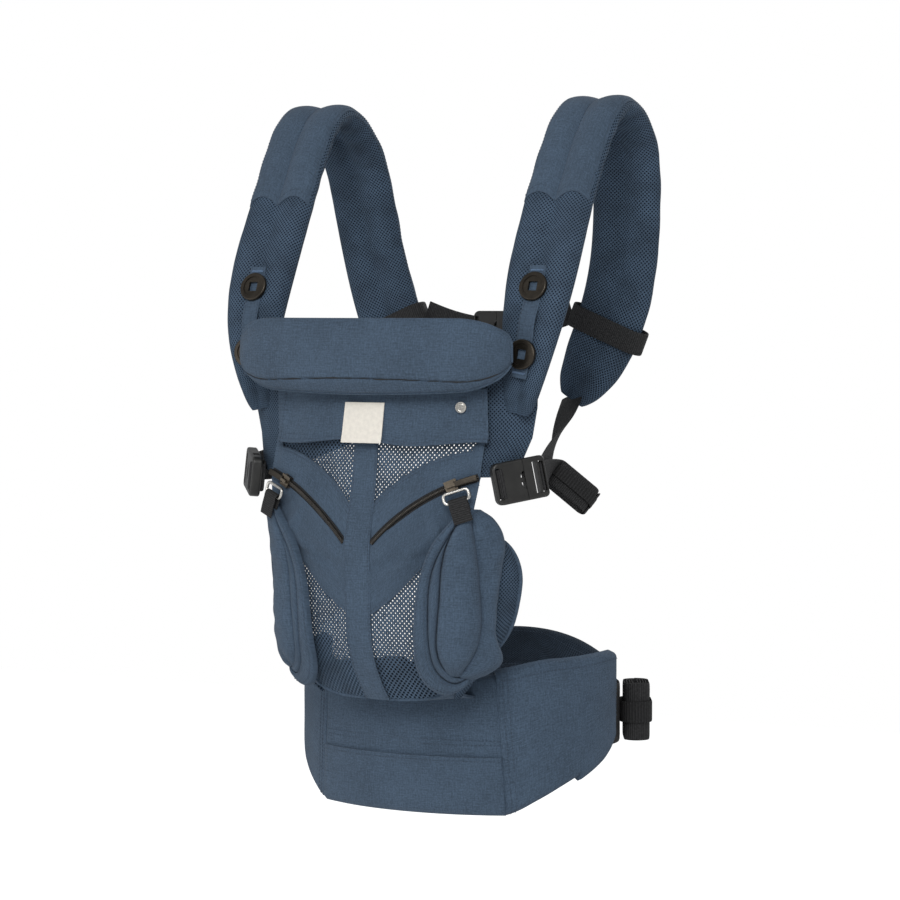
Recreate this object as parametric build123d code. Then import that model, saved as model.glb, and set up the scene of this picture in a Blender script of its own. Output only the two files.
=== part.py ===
from build123d import *
import math
import os

# A soft baby carrier in the shape it keeps when worn.  Millimetres, +Z up, the
# wearer stands at +Y and the baby faces them.  The origin is the centre of the
# waist opening at the level of the lower edge of the waistband's front.

# ---- driving dimensions -------------------------------------------------------
# waistband: a padded band bent round an oval waist
WAIST_HALF_WIDTH = 148.0
WAIST_HALF_DEPTH = 108.0
BAND_THICKNESS = 12.0
BAND_FRONT_HEIGHT = 119.0
WING_TOP = 136.0
WING_END_Y = 5.0
WING_END_BOTTOM = 54.0
WING_LOWER_START_Y = -92.0
WING_CORNER_RADIUS = 22.0
COVER_THICKNESS = 2.5
FRONT_HALF_TOP = 73.0
FRONT_HALF_BOTTOM = 90.0
POCKET_BOTTOM = 12.0
POCKET_TOP = 50.0
POCKET_THICKNESS = 1.6

# webbing and its side release buckles
WAIST_WEB = 50.0
SHOULDER_WEB = 25.0
CHEST_WEB = 20.0
WEB_THICKNESS = 1.6
BELT_CENTRE_Z = 79.0
BUCKLE_START = 8.0
ROLL_THICKNESS = 25.0
ROLL_LENGTH = 46.0
ROLL_START = 13.0
KEEPER_WIDTH = 18.0
RUNNING_GAP = 0.35

# lumbar pad
LUMBAR_SIDE_ROOM = 33.0
LUMBAR_BUCKLE_ROOM = 4.0
LUMBAR_STAND_OFF = 7.0
LUMBAR_TOP = 141.0
LUMBAR_END_TOP = 122.0
LUMBAR_BOTTOM = 46.0
LUMBAR_NOTCH_TOP = 104.0
LUMBAR_NOTCH_HALF = 26.0
LUMBAR_THICKNESS = 12.0
LUMBAR_SKIN = 2.0
LUMBAR_TRAVEL = 3.0
SLEEVE_SLACK = 0.2
SLEEVE_WIDTH = 24.0
SLEEVE_HALF_PITCH = 66.0
SLEEVE_BELT_ROOM = 2.6
SLEEVE_SKIN = 1.4
SLEEVE_HEM = 3.0

# body panel: horizontal slices (height, half width, centre depth, edge depth)
SHEET = 3.0
BODY_SLICES = [
    (100.0, 66.0, -146.0, -131.0),
    (125.0, 80.0, -164.0, -146.0),
    (180.0, 88.0, -176.0, -156.0),
    (235.0, 92.0, -178.0, -158.0),
    (288.0, 100.0, -167.0, -151.0),
    (320.0, 101.0, -163.0, -141.0),
    (410.0, 101.0, -160.0, -143.0),
]
SIDE_EDGE = [(100.0, 88.0, -114.0), (180.0, 122.0, -112.0), (288.0, 124.0, -122.0)]
SIDE_BULGE = (5.0, 4.0)
STRIP_HALF = 9.0
YOKE_BOTTOM = 320.0
WINDOW_LOW = 262.0
WINDOW_MIDDLE = (50.0, 296.0)
WINDOW_HALF = 92.0
WINDOW_END = 309.0
LOWER_WINDOW_TOP = 224.0
LOWER_WINDOW_IN = 172.0
LOWER_WINDOW_MIDDLE = (36.0, 192.0)
LOWER_WINDOW_SIDE = (74.0, 170.0)
LOWER_WINDOW_HALF = 66.0
LOWER_WINDOW_FOOT = 60.0
ZIP_EDGE_IN = 226.0
ZIP_EDGE_OUT = (130.0, 294.0)
SEAM_GAP = 0.05
FLAP_TOP = 352.0
FLAP_DROP = 12.0
FLAP_THICKNESS = 2.4
FLAP_LEAN = 7.0
LABEL_WIDTH = 37.0
LABEL_HEIGHT = 34.0
LABEL_THICKNESS = 1.0
LABEL_DROP = 21.0
SNAP_RADIUS = 4.5
SNAP_HEIGHT = 6.0
SNAP_X = 84.0
SNAP_DROP = 7.0
SNAP_PROUD = 0.85
SNAP_FACING = (0.35, -1.0, 0.0)

# zips: each follows a circular arc in space, low end near the centre strip
ZIP_LOW = (14.0, -178.5, 233.0)
ZIP_MID = (57.0, -168.5, 269.0)
ZIP_TOP = (100.0, -152.5, 288.0)
ZIP_COIL = 5.0
ZIP_COIL_HEIGHT = 2.4
ZIP_TAPE_WIDTH = 15.0
ZIP_TAPE = 1.0
ZIP_OUT = (0.25, -1.0, 0.12)
ZIP_END_ROOM = 0.5
SLIDER_WIDTH = 9.6
SLIDER_PLATE = 1.2
SLIDER_TURN = 3.4
SLIDER_PARK = 10.6

# seat wings: horizontal slices (height, inner edge, outer edge, thickness)
WING_SLICES = [
    (106.0, (60.0, -154.0), (98.0, -120.0), 5.0),
    (140.0, (60.0, -174.0), (124.0, -124.0), 11.0),
    (200.0, (64.0, -181.0), (129.0, -126.0), 13.0),
    (250.0, (76.0, -172.0), (124.0, -132.0), 9.0),
    (270.0, (90.0, -162.0), (108.0, -148.0), 4.0),
]
WING_BULGE = 0.2
WING_EDGE = 1.5
BINDING_RADIUS = 2.2
BINDING_SHIFT = (2.6, 1.0)

# metal loop and webbing tab above each seat wing
LOOP_CENTRE = (88.0, -167.5, 273.0)
LOOP_ALONG = (0.86, 0.36, 0.3)
LOOP_OUT = (0.3, -1.0, 0.1)
LOOP_CORNER = 3.0
LOOP_LENGTH = 24.0
LOOP_HEIGHT = 11.0
LOOP_WIRE = 2.6
TAB_WIDTH = 16.0
TAB_LENGTH = 18.0
TAB_DROP = 7.0
TAB_SINK = 0.3

# head support: a pillow folded down over the top edge, hinged on its fold
HEAD_HALF = 131.0
HEAD_TOP = 414.0
HEAD_BOTTOM = 357.0
HEAD_CENTRE_Y = -178.0
HEAD_END_Y = -152.0
HEAD_THICKNESS = 22.0
HEAD_END_RADIUS = 24.0
FOLD_RADIUS = 3.5
FOLD_HALF = 92.0
FILLING_INSET = 3.0

# shoulder straps: stations along the centre of the right strap
# (x, y, z, width, thickness)
STRAP_STATIONS = [
    (124.0, -130.0, 340.0, 40.0, 10.0),
    (133.0, -130.0, 385.0, 56.0, 16.0),
    (136.0, -116.0, 440.0, 61.0, 18.0),
    (136.0, -80.0, 515.0, 63.0, 18.0),
    (137.0, -54.0, 560.0, 63.0, 18.0),
    (138.0, -16.0, 594.0, 63.0, 18.0),
    (137.0, 30.0, 570.0, 63.0, 18.0),
    (132.0, 50.0, 515.0, 63.0, 18.0),
    (124.0, 58.0, 460.0, 63.0, 18.0),
    (105.0, 61.0, 400.0, 62.0, 17.0),
    (88.0, 60.0, 368.0, 52.0, 14.0),
    (74.0, 59.0, 346.0, 32.0, 9.0),
]
STRAP_SKIN = 2.2
FOAM_LOW = 362.0
EYELET_Z = (387.0, 440.0)
EYELET_RADIUS = 12.5
EYELET_HEIGHT = 3.0
EYELET_WINDOW = 8.0
STRIP_WIDTH = 15.0
STRIP_THICKNESS = 2.6
STRIP_LIFT = 2.4
GROOVE_SHARE = 0.62

# mesh gusset beside the yoke: its outer edge (height, half width)
GUSSET_EDGE = [(288.0, 122.0), (320.0, 134.0), (372.0, 118.0)]
GUSSET_DEPTH = 22.0

# side buckles: the line each one lies on, female end to male end
SIDE_BUCKLE_FROM = (106.0, -146.0, 281.0)
SIDE_BUCKLE_TO = (140.0, -106.0, 290.0)
SIDE_BUCKLE_OUT = (0.62, -0.78, 0.05)
SIDE_BUCKLE_STAND_OFF = 12.0
SIDE_TAB_LENGTH = 24.0
SIDE_TAB_DEPTH = 7.2
WEBBING_ROLL = (46.0, 14.0)
ROLL_CENTRE = (136.0, -58.0, 277.0)
ROLL_ALONG = (0.667, 0.385, -0.64)
ROLL_ACROSS = (-0.45, 0.72, -0.5)

# chest strap: one sliding loop round each strap's back
CHEST_Z = 408.0
CHEST_SAG = 14.0
CHEST_CLEARANCE = 0.8


# ---- helpers --------------------------------------------------------------------
FAR = 260.0  # deeper, from the middle, than anything in the carrier


def loop_face(*edges):
    return make_face(Curve() + list(edges))


def box_between(x_range, y_range, z_range):
    sizes = [high - low for low, high in (x_range, y_range, z_range)]
    centre = [(high + low) / 2 for low, high in (x_range, y_range, z_range)]
    return Pos(*centre) * Box(*sizes)


def front_prism(face):
    """A front view outline, drawn in X and Z, pushed through the whole depth."""
    return extrude(Plane.XZ * face, FAR)


def mirrored(shape):
    return mirror(shape, about=Plane.YZ)


def largest(shape):
    return max(shape.solids(), key=lambda solid: solid.volume)


def solids_of(shape):
    """The shape's solids in one compound, without crumbs."""
    kept = [solid for solid in shape.solids() if solid.volume > 1.0]
    return kept[0] if len(kept) == 1 else Compound(kept)


NODES = {}


def keep(name, shape):
    NODES[name] = solids_of(shape)
    return NODES[name]


def keep_pair(name, right, neighbours=()):
    for neighbour in neighbours:
        right = right - neighbour
    keep(name + "_right", right)
    keep(name + "_left", mirrored(solids_of(right)))
    return solids_of(right)


def both_sides(name, right):
    right = solids_of(right)
    return keep(name, Compound(right.solids() + mirrored(right).solids()))


def oval(offset, low, high):
    """The waist oval grown by an offset, as a solid between two heights."""
    outline = Ellipse(WAIST_HALF_WIDTH + offset, WAIST_HALF_DEPTH + offset)
    return extrude(Plane.XY.offset(low) * outline, high - low)


def oval_ring(inner, outer, low, high):
    return oval(outer, low, high) - oval(inner, low, high)


def oval_point(turn, offset=0.0, z=0.0):
    """A point on the waist oval; turn counts from +X towards the back."""
    angle = math.radians(turn)
    return (
        (WAIST_HALF_WIDTH + offset) * math.cos(angle),
        (WAIST_HALF_DEPTH + offset) * math.sin(angle),
        z,
    )


def oval_sector(start, end):
    """A wedge of plan view from the origin between two turns."""
    far = 3 * WAIST_HALF_WIDTH
    a, b = math.radians(start), math.radians(end)
    m = (a + b) / 2
    outline = Polyline(
        (0, 0),
        (far * math.cos(a), far * math.sin(a)),
        (far * math.cos(m), far * math.sin(m)),
        (far * math.cos(b), far * math.sin(b)),
        close=True,
    )
    return extrude(make_face(outline), 2 * WING_TOP)


# ---- waistband ------------------------------------------------------------------
def band_outline(inset):
    """Side view of the band: level at the front, stepped up to the wing ends."""
    outline = Polyline(
        (-WAIST_HALF_DEPTH - 20, inset),
        (WING_LOWER_START_Y, inset),
        (WING_END_Y - inset, WING_END_BOTTOM + inset),
        (WING_END_Y - inset, WING_TOP - inset),
        (-60, WING_TOP - 4 - inset),
        (-95, BAND_FRONT_HEIGHT - inset),
        (-WAIST_HALF_DEPTH - 20, BAND_FRONT_HEIGHT - inset),
        close=True,
    )
    face = make_face(outline)
    corners = face.vertices().sort_by(Axis.X)
    lower_corner = [v for v in corners if v.X > 0 and v.Y < WING_TOP / 2]
    face = fillet(lower_corner, WING_CORNER_RADIUS - inset)
    corners = face.vertices().sort_by(Axis.X)
    upper_corner = [v for v in corners if v.X > 0 and v.Y > WING_TOP - 10 - inset]
    face = fillet(upper_corner, 8 - inset)
    turns = [v for v in face.vertices() if -100 < v.X < -50]
    return fillet(turns, 20)


def band_solid(inset):
    width = 4 * WAIST_HALF_WIDTH
    outline = extrude(Plane.YZ * band_outline(inset), width / 2, both=True)
    ring = oval_ring(-BAND_THICKNESS + inset, -inset, 0, WING_TOP + 10)
    return outline & ring


def waistband():
    skin = COVER_THICKNESS
    foam = keep("waist_foam_core", band_solid(skin))
    cover = band_solid(0) - foam
    seams = Polyline(
        (-FRONT_HALF_BOTTOM, 0),
        (-FRONT_HALF_TOP, 2 * BAND_FRONT_HEIGHT),
        (FRONT_HALF_TOP, 2 * BAND_FRONT_HEIGHT),
        (FRONT_HALF_BOTTOM, 0),
        close=True,
    )
    middle = front_prism(make_face(seams))
    keep("waistband_front", cover & middle)
    wings = cover - middle
    keep("waistband_wing_left", wings & box_between((-300, 0), (-300, 300), (-10, 200)))
    keep("waistband_wing_right", wings & box_between((0, 300), (-300, 300), (-10, 200)))
    pocket = oval_ring(SEAM_GAP, POCKET_THICKNESS, POCKET_BOTTOM, POCKET_TOP)
    keep("waist_pocket_panel", pocket & middle & box_between((-200, 200), (-300, -40), (0, 90)))


# ---- side release buckle ----------------------------------------------------------
def buckle(web):
    """Female, male and arms of a buckle for one webbing width.

    The buckle lies along X and the male leaves towards +X.  X = 0 is the mouth.
    """
    wall = 1.6 + web * 0.012
    width = web + 5 * wall
    thick = 7.0 + web * 0.08
    female_length = 12.0 + web * 0.58
    male_length = 10.0 + web * 0.36
    pocket = female_length - 3 * wall - 3.5
    slot_length = WEB_THICKNESS + 2.2
    inner_height = thick - 2 * wall

    shell = Pos(-female_length / 2, 0, 0) * Box(female_length, width, thick)
    shell = fillet(shell.edges().filter_by(Axis.Z).group_by(Axis.X)[0], 3 * wall)
    shell = fillet(shell.edges().filter_by(Axis.Y).group_by(Axis.X)[0], wall)
    mouth = Pos(-pocket / 2, 0, 0) * Box(pocket, width - 2 * wall, inner_height)
    window_length = pocket * 0.45
    window_x = -pocket * 0.62
    window = Pos(window_x, 0, 0) * Box(window_length, 2 * width, inner_height)
    throat = scale(Cylinder(web * 0.3, 2 * thick), by=(0.5, 1, 1))
    slot = Pos(-female_length + wall + slot_length / 2, 0, 0)
    slot = slot * Box(slot_length, web + 1, 2 * thick)
    female = shell - mouth - window - throat - slot

    gap = RUNNING_GAP
    base = Pos(gap + male_length / 2, 0, 0) * Box(male_length, width, thick)
    base = fillet(base.edges().filter_by(Axis.Z).group_by(Axis.X)[-1], 2 * wall)
    base = fillet(base.edges().filter_by(Axis.Y).group_by(Axis.X)[-1], wall)
    bar_pitch = slot_length + wall
    for row in (0, 1):
        x = gap + male_length - wall - slot_length / 2 - row * bar_pitch
        base -= Pos(x, 0, 0) * Box(slot_length, web + 1, 2 * thick)
    lip = Pos(gap + wall, 0, 0) * Box(2 * wall, width - 2 * wall, inner_height)
    guide_length = pocket - wall
    guide = Pos(gap - guide_length / 2, 0, 0)
    guide = guide * Box(guide_length, web * 0.16, inner_height - 2 * gap)
    male = base + lip + guide

    prong = web * 0.1 + 1.0
    half_inside = width / 2 - wall - gap
    head_low = window_x - window_length / 2 + gap
    head_high = window_x + window_length / 2 - gap
    side = Polyline(
        (gap, half_inside),
        (gap, half_inside - prong),
        (head_high, half_inside - prong - wall),
        (head_low, half_inside - 2 * prong),
        (head_low, half_inside - prong * 0.4),
        (head_low + wall, half_inside),
        (head_high - wall, width / 2 - gap),
        (head_high, width / 2 - gap),
        (head_high, half_inside),
        close=True,
    )
    arm_height = inner_height - 2 * gap
    arm = extrude(make_face(side), arm_height / 2, both=True)
    arms = Compound([solids_of(arm), solids_of(mirror(arm, about=Plane.XZ))])
    ends = {"female": -female_length, "male": gap + male_length, "slot": slot_length, "wall": wall}
    return female, male, arms, ends


def buckle_frame(start, end, up, web):
    """The plane a buckle lies in: X from the female end to the male end."""
    ends = buckle(web)[3]
    x_dir = (Vector(*end) - Vector(*start)).normalized()
    normal = Vector(*up) - x_dir * Vector(*up).dot(x_dir)
    middle = Vector(*start) - x_dir * ends["female"]
    return Plane(origin=middle, x_dir=x_dir, z_dir=normal.normalized())


# ---- belt, waist buckle, roll and lumbar pad ---------------------------------------
def belt_frame():
    """The waist buckle lies on a chord of the oval, on the wearer's left side."""
    ends = buckle(WAIST_WEB)[3]
    length = ends["male"] - ends["female"]
    turn = 180.0 - BUCKLE_START
    start = Vector(*oval_point(turn, -BAND_THICKNESS / 2, BELT_CENTRE_Z))
    while turn > 90:
        end = Vector(*oval_point(turn, -BAND_THICKNESS / 2, BELT_CENTRE_Z))
        if (end - start).length >= length:
            break
        turn -= 0.05
    outward = (start + end) * 0.5 - Vector(0, 0, BELT_CENTRE_Z)
    return buckle_frame(start, end, outward, WAIST_WEB), turn


def belt_and_buckle():
    frame, end_turn = belt_frame()
    female, male, arms, ends = buckle(WAIST_WEB)
    low = BELT_CENTRE_Z - WAIST_WEB / 2
    high = BELT_CENTRE_Z + WAIST_WEB / 2
    mid = -BAND_THICKNESS / 2
    strap = oval_ring(mid - WEB_THICKNESS / 2, mid + WEB_THICKNESS / 2, low, high)
    wing_turn = math.degrees(math.asin(WING_END_Y / (WAIST_HALF_DEPTH + mid)))
    slot_turn = 180.0 - BUCKLE_START - 3.2
    tab = strap & oval_sector(slot_turn, 180.0 - wing_turn + 0.4)
    keep("waist_buckle_tab", largest(tab - NODES["waistband_wing_left"] - frame * female))
    belt = strap & oval_sector(wing_turn - 0.4, end_turn + 2.2)
    belt = belt - NODES["waistband_wing_right"] - frame * male - frame * female
    keep("waist_belt_webbing", largest(belt))
    keep("waist_buckle_female", frame * female)
    keep("waist_buckle_male", frame * male)
    keep("waist_buckle_arms", frame * arms)

    # spare belt, rolled flat outside the belt behind the right wing
    start = Vector(*oval_point(ROLL_START, mid + WEB_THICKNESS / 2 + RUNNING_GAP, BELT_CENTRE_Z))
    later = Vector(*oval_point(ROLL_START + 18, mid + WEB_THICKNESS / 2 + RUNNING_GAP, BELT_CENTRE_Z))
    along = (later - start).normalized()
    out = along.cross(Vector(0, 0, 1))
    centre = start + along * (ROLL_LENGTH / 2) + out * (ROLL_THICKNESS / 2 + 2.5)
    roll_plane = Plane(origin=centre, x_dir=along, z_dir=Vector(0, 0, 1))
    roll = SlotOverall(ROLL_LENGTH, ROLL_THICKNESS)
    roll = roll_plane * extrude(roll, WAIST_WEB / 2, both=True)
    keeper = SlotOverall(ROLL_LENGTH + 2.4, ROLL_THICKNESS + 2.4)
    keeper = keeper - SlotOverall(ROLL_LENGTH + 0.2, ROLL_THICKNESS + 0.2)
    keeper = roll_plane * extrude(keeper, KEEPER_WIDTH / 2, both=True)
    roll = Compound([roll.solid(), keeper.solid()])
    keep("waist_webbing_roll", roll - NODES["waist_belt_webbing"])
    return frame


def lumbar_centre_y():
    """Centre of the circle that matches the oval at the middle of the back."""
    return WAIST_HALF_DEPTH - WAIST_HALF_WIDTH**2 / WAIST_HALF_DEPTH


def lumbar_outer_radius():
    """Radius of the pad's outer face, inside the belt."""
    return WAIST_HALF_DEPTH - lumbar_centre_y() - (BAND_THICKNESS + WEB_THICKNESS) / 2 - LUMBAR_STAND_OFF


def lumbar_ends():
    """The pad's ends: the left one stays clear of the buckle over the whole slide."""
    frame, _ = belt_frame()
    male_end = frame.from_local_coords(Vector(buckle(WAIST_WEB)[3]["male"], 0, 0))
    outer = lumbar_outer_radius()
    turn = math.atan2(male_end.X, male_end.Y - lumbar_centre_y())
    turn += math.radians(LUMBAR_TRAVEL) + LUMBAR_BUCKLE_ROOM / outer
    return outer * math.sin(turn), WAIST_HALF_WIDTH - LUMBAR_SIDE_ROOM


def lumbar_outline(inset):
    ends = lumbar_ends()
    arch = sum(ends) / 2
    left, right = ends[0] + inset, ends[1] - inset
    top, end_top = LUMBAR_TOP - inset, LUMBAR_END_TOP - inset
    low = LUMBAR_BOTTOM + inset
    notch = LUMBAR_NOTCH_HALF + inset
    notch_top = LUMBAR_NOTCH_TOP + inset
    face = loop_face(
        ThreePointArc((left, end_top), (arch, top), (right, end_top)),
        Line((right, end_top), (right, low)),
        Line((right, low), (arch + 2 * notch, low)),
        Line((arch + 2 * notch, low), (arch + notch, notch_top)),
        Line((arch + notch, notch_top), (arch - notch, notch_top)),
        Line((arch - notch, notch_top), (arch - 2 * notch, low)),
        Line((arch - 2 * notch, low), (left, low)),
        Line((left, low), (left, end_top)),
    )
    low_corners = [v for v in face.vertices() if v.Y < low + 1]
    face = fillet(low_corners, 18 - inset)
    high_corners = [v for v in face.vertices() if v.Y > notch_top - 1]
    return fillet(high_corners, 12 - inset)


def lumbar():
    """Pad inside the belt on its own circle, so that it slides round the back."""
    centre_y = lumbar_centre_y()
    outer = lumbar_outer_radius()

    def shell(inset):
        ring = Cylinder(outer - inset, 400) - Cylinder(outer - LUMBAR_THICKNESS + inset, 400)
        outline = extrude(Plane.XZ * lumbar_outline(inset), -FAR)
        return (Pos(0, centre_y, 0) * ring) & outline

    foam = keep("lumbar_foam", shell(LUMBAR_SKIN))
    keep("lumbar_pad", shell(0) - foam)

    # two flat sleeves on the pad's outer face, round the belt
    low = BELT_CENTRE_Z - WAIST_WEB / 2 - SLEEVE_BELT_ROOM
    high = BELT_CENTRE_Z + WAIST_WEB / 2 + SLEEVE_BELT_ROOM
    belt_in = outer + LUMBAR_STAND_OFF - SLEEVE_BELT_ROOM
    belt_out = outer + LUMBAR_STAND_OFF + WEB_THICKNESS + SLEEVE_BELT_ROOM + SLEEVE_SLACK
    sleeve = Cylinder(belt_out + SLEEVE_SKIN, high - low + 2 * SLEEVE_HEM)
    sleeve -= Cylinder(outer + SEAM_GAP, 400)
    sleeve -= Cylinder(belt_out, high - low) - Cylinder(belt_in, 400)
    sleeve = Pos(0, centre_y, (low + high) / 2) * sleeve
    middle = sum(lumbar_ends()) / 2
    pieces = []
    for x in (middle - SLEEVE_HALF_PITCH, middle + SLEEVE_HALF_PITCH):
        cut = box_between((x - SLEEVE_WIDTH / 2, x + SLEEVE_WIDTH / 2), (0, FAR), (0, FAR))
        pieces += (sleeve & cut).solids()
    keep("lumbar_sleeves", Compound(pieces))


# ---- body panel -----------------------------------------------------------------
def slice_face(z, half, centre_y, edge_y, depth):
    return Plane.XY.offset(z) * loop_face(
        ThreePointArc((-half, edge_y), (0, centre_y), (half, edge_y)),
        Line((half, edge_y), (half, edge_y + depth)),
        ThreePointArc((half, edge_y + depth), (0, centre_y + depth), (-half, edge_y + depth)),
        Line((-half, edge_y + depth), (-half, edge_y)),
    )


def bowl():
    return loft([slice_face(*row, SHEET) for row in BODY_SLICES[:-1]])


def yoke():
    return loft([slice_face(*row, SHEET) for row in BODY_SLICES[-2:]], ruled=True)


def yoke_row(z):
    """Half width, centre depth and edge depth of the yoke at a height."""
    low, high = BODY_SLICES[-2:]
    part = (z - low[0]) / (high[0] - low[0])
    return [a + (b - a) * part for a, b in zip(low[1:], high[1:])]


def zip_circle():
    """Centre and axis of the circle through the three points of the zip."""
    low, mid, top = Vector(*ZIP_LOW), Vector(*ZIP_MID), Vector(*ZIP_TOP)
    a, b = low - top, mid - top
    n = a.cross(b)
    side = (b * a.dot(a) - a * b.dot(b)).cross(n)
    centre = top + side * (1 / (2 * n.dot(n)))
    return centre, n.normalized()


def along_zip(profile, start, turn):
    """Turn a cross section drawn at the zip's middle about the zip's own axis.

    In the section X runs across the tape and Y points out of the fabric.
    Positive turns go towards the zip's outer end.
    """
    centre, normal = zip_circle()
    mid = Vector(*ZIP_MID)
    tangent = normal.cross(mid - centre).normalized()
    if tangent.X < 0:
        tangent, normal = tangent * -1, normal * -1
    out = Vector(*ZIP_OUT)
    out = (out - tangent * out.dot(tangent)).normalized()
    plane = Plane(origin=mid, x_dir=out.cross(tangent), z_dir=tangent)
    axis = Axis(tuple(centre), tuple(normal))
    section = (plane * profile).rotate(axis, start)
    return revolve(section, axis=axis, revolution_arc=turn)


def zip_turn(point):
    """Degrees round the zip's circle from its middle to a point."""
    centre, _ = zip_circle()
    mid = Vector(*ZIP_MID) - centre
    return mid.get_angle(Vector(*point) - centre)


def zips():
    down, up = zip_turn(ZIP_LOW), zip_turn(ZIP_TOP)
    tape = Rectangle(ZIP_TAPE_WIDTH, ZIP_TAPE)
    coil = RectangleRounded(ZIP_COIL, ZIP_COIL_HEIGHT, 1.0)
    tape = along_zip(tape, -down, down + up) + along_zip(coil, -down, down + up)
    start, sweep_turn = -down - ZIP_END_ROOM, down + up + 2 * ZIP_END_ROOM
    slot = along_zip(Rectangle(ZIP_TAPE_WIDTH - 3, 16), start, sweep_turn)
    both_sides("zip_tapes", tape)
    return solids_of(tape), slot


def zip_slider():
    inner = ZIP_COIL_HEIGHT / 2 + RUNNING_GAP
    plate = Rectangle(SLIDER_WIDTH, SLIDER_PLATE)
    flange = Rectangle(SLIDER_PLATE, inner - ZIP_TAPE / 2 - 2 * RUNNING_GAP + 0.3)
    flange_y = inner - flange.bounding_box().size.Y / 2
    flange_x = SLIDER_WIDTH / 2 - SLIDER_PLATE / 2
    half = Pos(0, inner + SLIDER_PLATE / 2) * plate
    for side in (-1, 1):
        half += Pos(side * flange_x, flange_y) * flange
    start = SLIDER_PARK - SLIDER_TURN
    top = along_zip(half, start, SLIDER_TURN)
    bottom = along_zip(mirror(half, about=Plane.XZ), start, SLIDER_TURN)
    bridge = Pos(0, inner + SLIDER_PLATE + 1.6) * Rectangle(2.4, 1.2)
    posts = Pos(0, inner + SLIDER_PLATE + 0.5) * Rectangle(2.4, 1.2)
    top += along_zip(bridge, start + 0.5, SLIDER_TURN - 1.0)
    top += along_zip(posts, start + 0.5, 0.5)
    top += along_zip(posts, start + SLIDER_TURN - 1.0, 0.5)
    keep_pair("zip_slider", Compound(top.solids() + bottom.solids()))


def body_panels():
    lower, upper = bowl(), yoke()
    shell = lower + upper
    tape, slot = zips()
    strip = front_prism(Pos(0, 250) * Rectangle(2 * STRIP_HALF, 400))
    keep("yoke_panel", upper + top_fold())
    keep("body_centre_strip", lower & strip)
    half = lower & box_between((STRIP_HALF, 200), (-260, 0), (0, 500))

    window = loop_face(
        Line((STRIP_HALF, WINDOW_LOW), (STRIP_HALF, YOKE_BOTTOM)),
        Line((STRIP_HALF, YOKE_BOTTOM), (WINDOW_HALF, YOKE_BOTTOM)),
        Line((WINDOW_HALF, YOKE_BOTTOM), (WINDOW_HALF, WINDOW_END)),
        ThreePointArc((WINDOW_HALF, WINDOW_END), WINDOW_MIDDLE, (STRIP_HALF, WINDOW_LOW)),
    )
    low_z = BODY_SLICES[0][0]
    peak = (LOWER_WINDOW_HALF, LOWER_WINDOW_TOP)
    teardrop = loop_face(
        Line((STRIP_HALF, low_z), (STRIP_HALF, LOWER_WINDOW_IN)),
        ThreePointArc((STRIP_HALF, LOWER_WINDOW_IN), LOWER_WINDOW_MIDDLE, peak),
        ThreePointArc(peak, LOWER_WINDOW_SIDE, (LOWER_WINDOW_FOOT, low_z)),
        Line((LOWER_WINDOW_FOOT, low_z), (STRIP_HALF, low_z)),
    )
    zip_edge = loop_face(
        ThreePointArc((STRIP_HALF - 1, ZIP_EDGE_IN), (ZIP_MID[0], ZIP_MID[2]), ZIP_EDGE_OUT),
        Line(ZIP_EDGE_OUT, (ZIP_EDGE_OUT[0], YOKE_BOTTOM + 5)),
        Line((ZIP_EDGE_OUT[0], YOKE_BOTTOM + 5), (STRIP_HALF - 1, YOKE_BOTTOM + 5)),
        Line((STRIP_HALF - 1, YOKE_BOTTOM + 5), (STRIP_HALF - 1, ZIP_EDGE_IN)),
    )
    above = half & front_prism(zip_edge)
    below = half - front_prism(zip_edge)
    window_hole = front_prism(window)
    teardrop_hole = front_prism(teardrop)
    both_sides("upper_mesh_windows", largest((above & window_hole) - slot - tape))
    both_sides("v_bands", largest(above - window_hole - slot - tape))
    both_sides("lower_mesh_windows", largest((below & teardrop_hole) - slot - tape))
    both_sides("lower_panels", largest(below - teardrop_hole - slot - tape))

    # seat base: closes the bowl's lower edge back to the waistband's front
    z, half_width, centre_y, edge_y = BODY_SLICES[0]
    base = loop_face(
        ThreePointArc((-half_width, edge_y), (0, centre_y), (half_width, edge_y)),
        Line((half_width, edge_y), (half_width, -60)),
        Line((half_width, -60), (-half_width, -60)),
        Line((-half_width, -60), (-half_width, edge_y)),
    )
    base = extrude(Plane.XY.offset(z - SHEET) * base, SHEET - SEAM_GAP)
    keep("seat_base", base - oval(SEAM_GAP, 0, 200))
    return shell, tape


def side_face(row, body_row):
    """Slice of the side mesh, bulging outwards from the body's edge to its own."""
    z, x, y = row
    _, half, _, edge_y = body_row
    bulge_x, bulge_y = SIDE_BULGE
    middle_x, middle_y = (half + x) / 2 + bulge_x, (edge_y + y) / 2 - bulge_y
    return Plane.XY.offset(z) * loop_face(
        ThreePointArc((half, edge_y), (middle_x, middle_y), (x, y)),
        Line((x, y), (x - SHEET, y)),
        ThreePointArc((x - SHEET, y), (middle_x - 2, middle_y + SHEET), (half - 1, edge_y + SHEET)),
        Line((half - 1, edge_y + SHEET), (half, edge_y)),
    )


def side_mesh(shell):
    rows = [(SIDE_EDGE[0], BODY_SLICES[0]), (SIDE_EDGE[1], BODY_SLICES[2]), (SIDE_EDGE[2], BODY_SLICES[4])]
    mesh = loft([side_face(*pair) for pair in rows])
    mesh = largest(mesh - shell)
    both_sides("side_mesh_panels", mesh)
    return mesh


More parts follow.
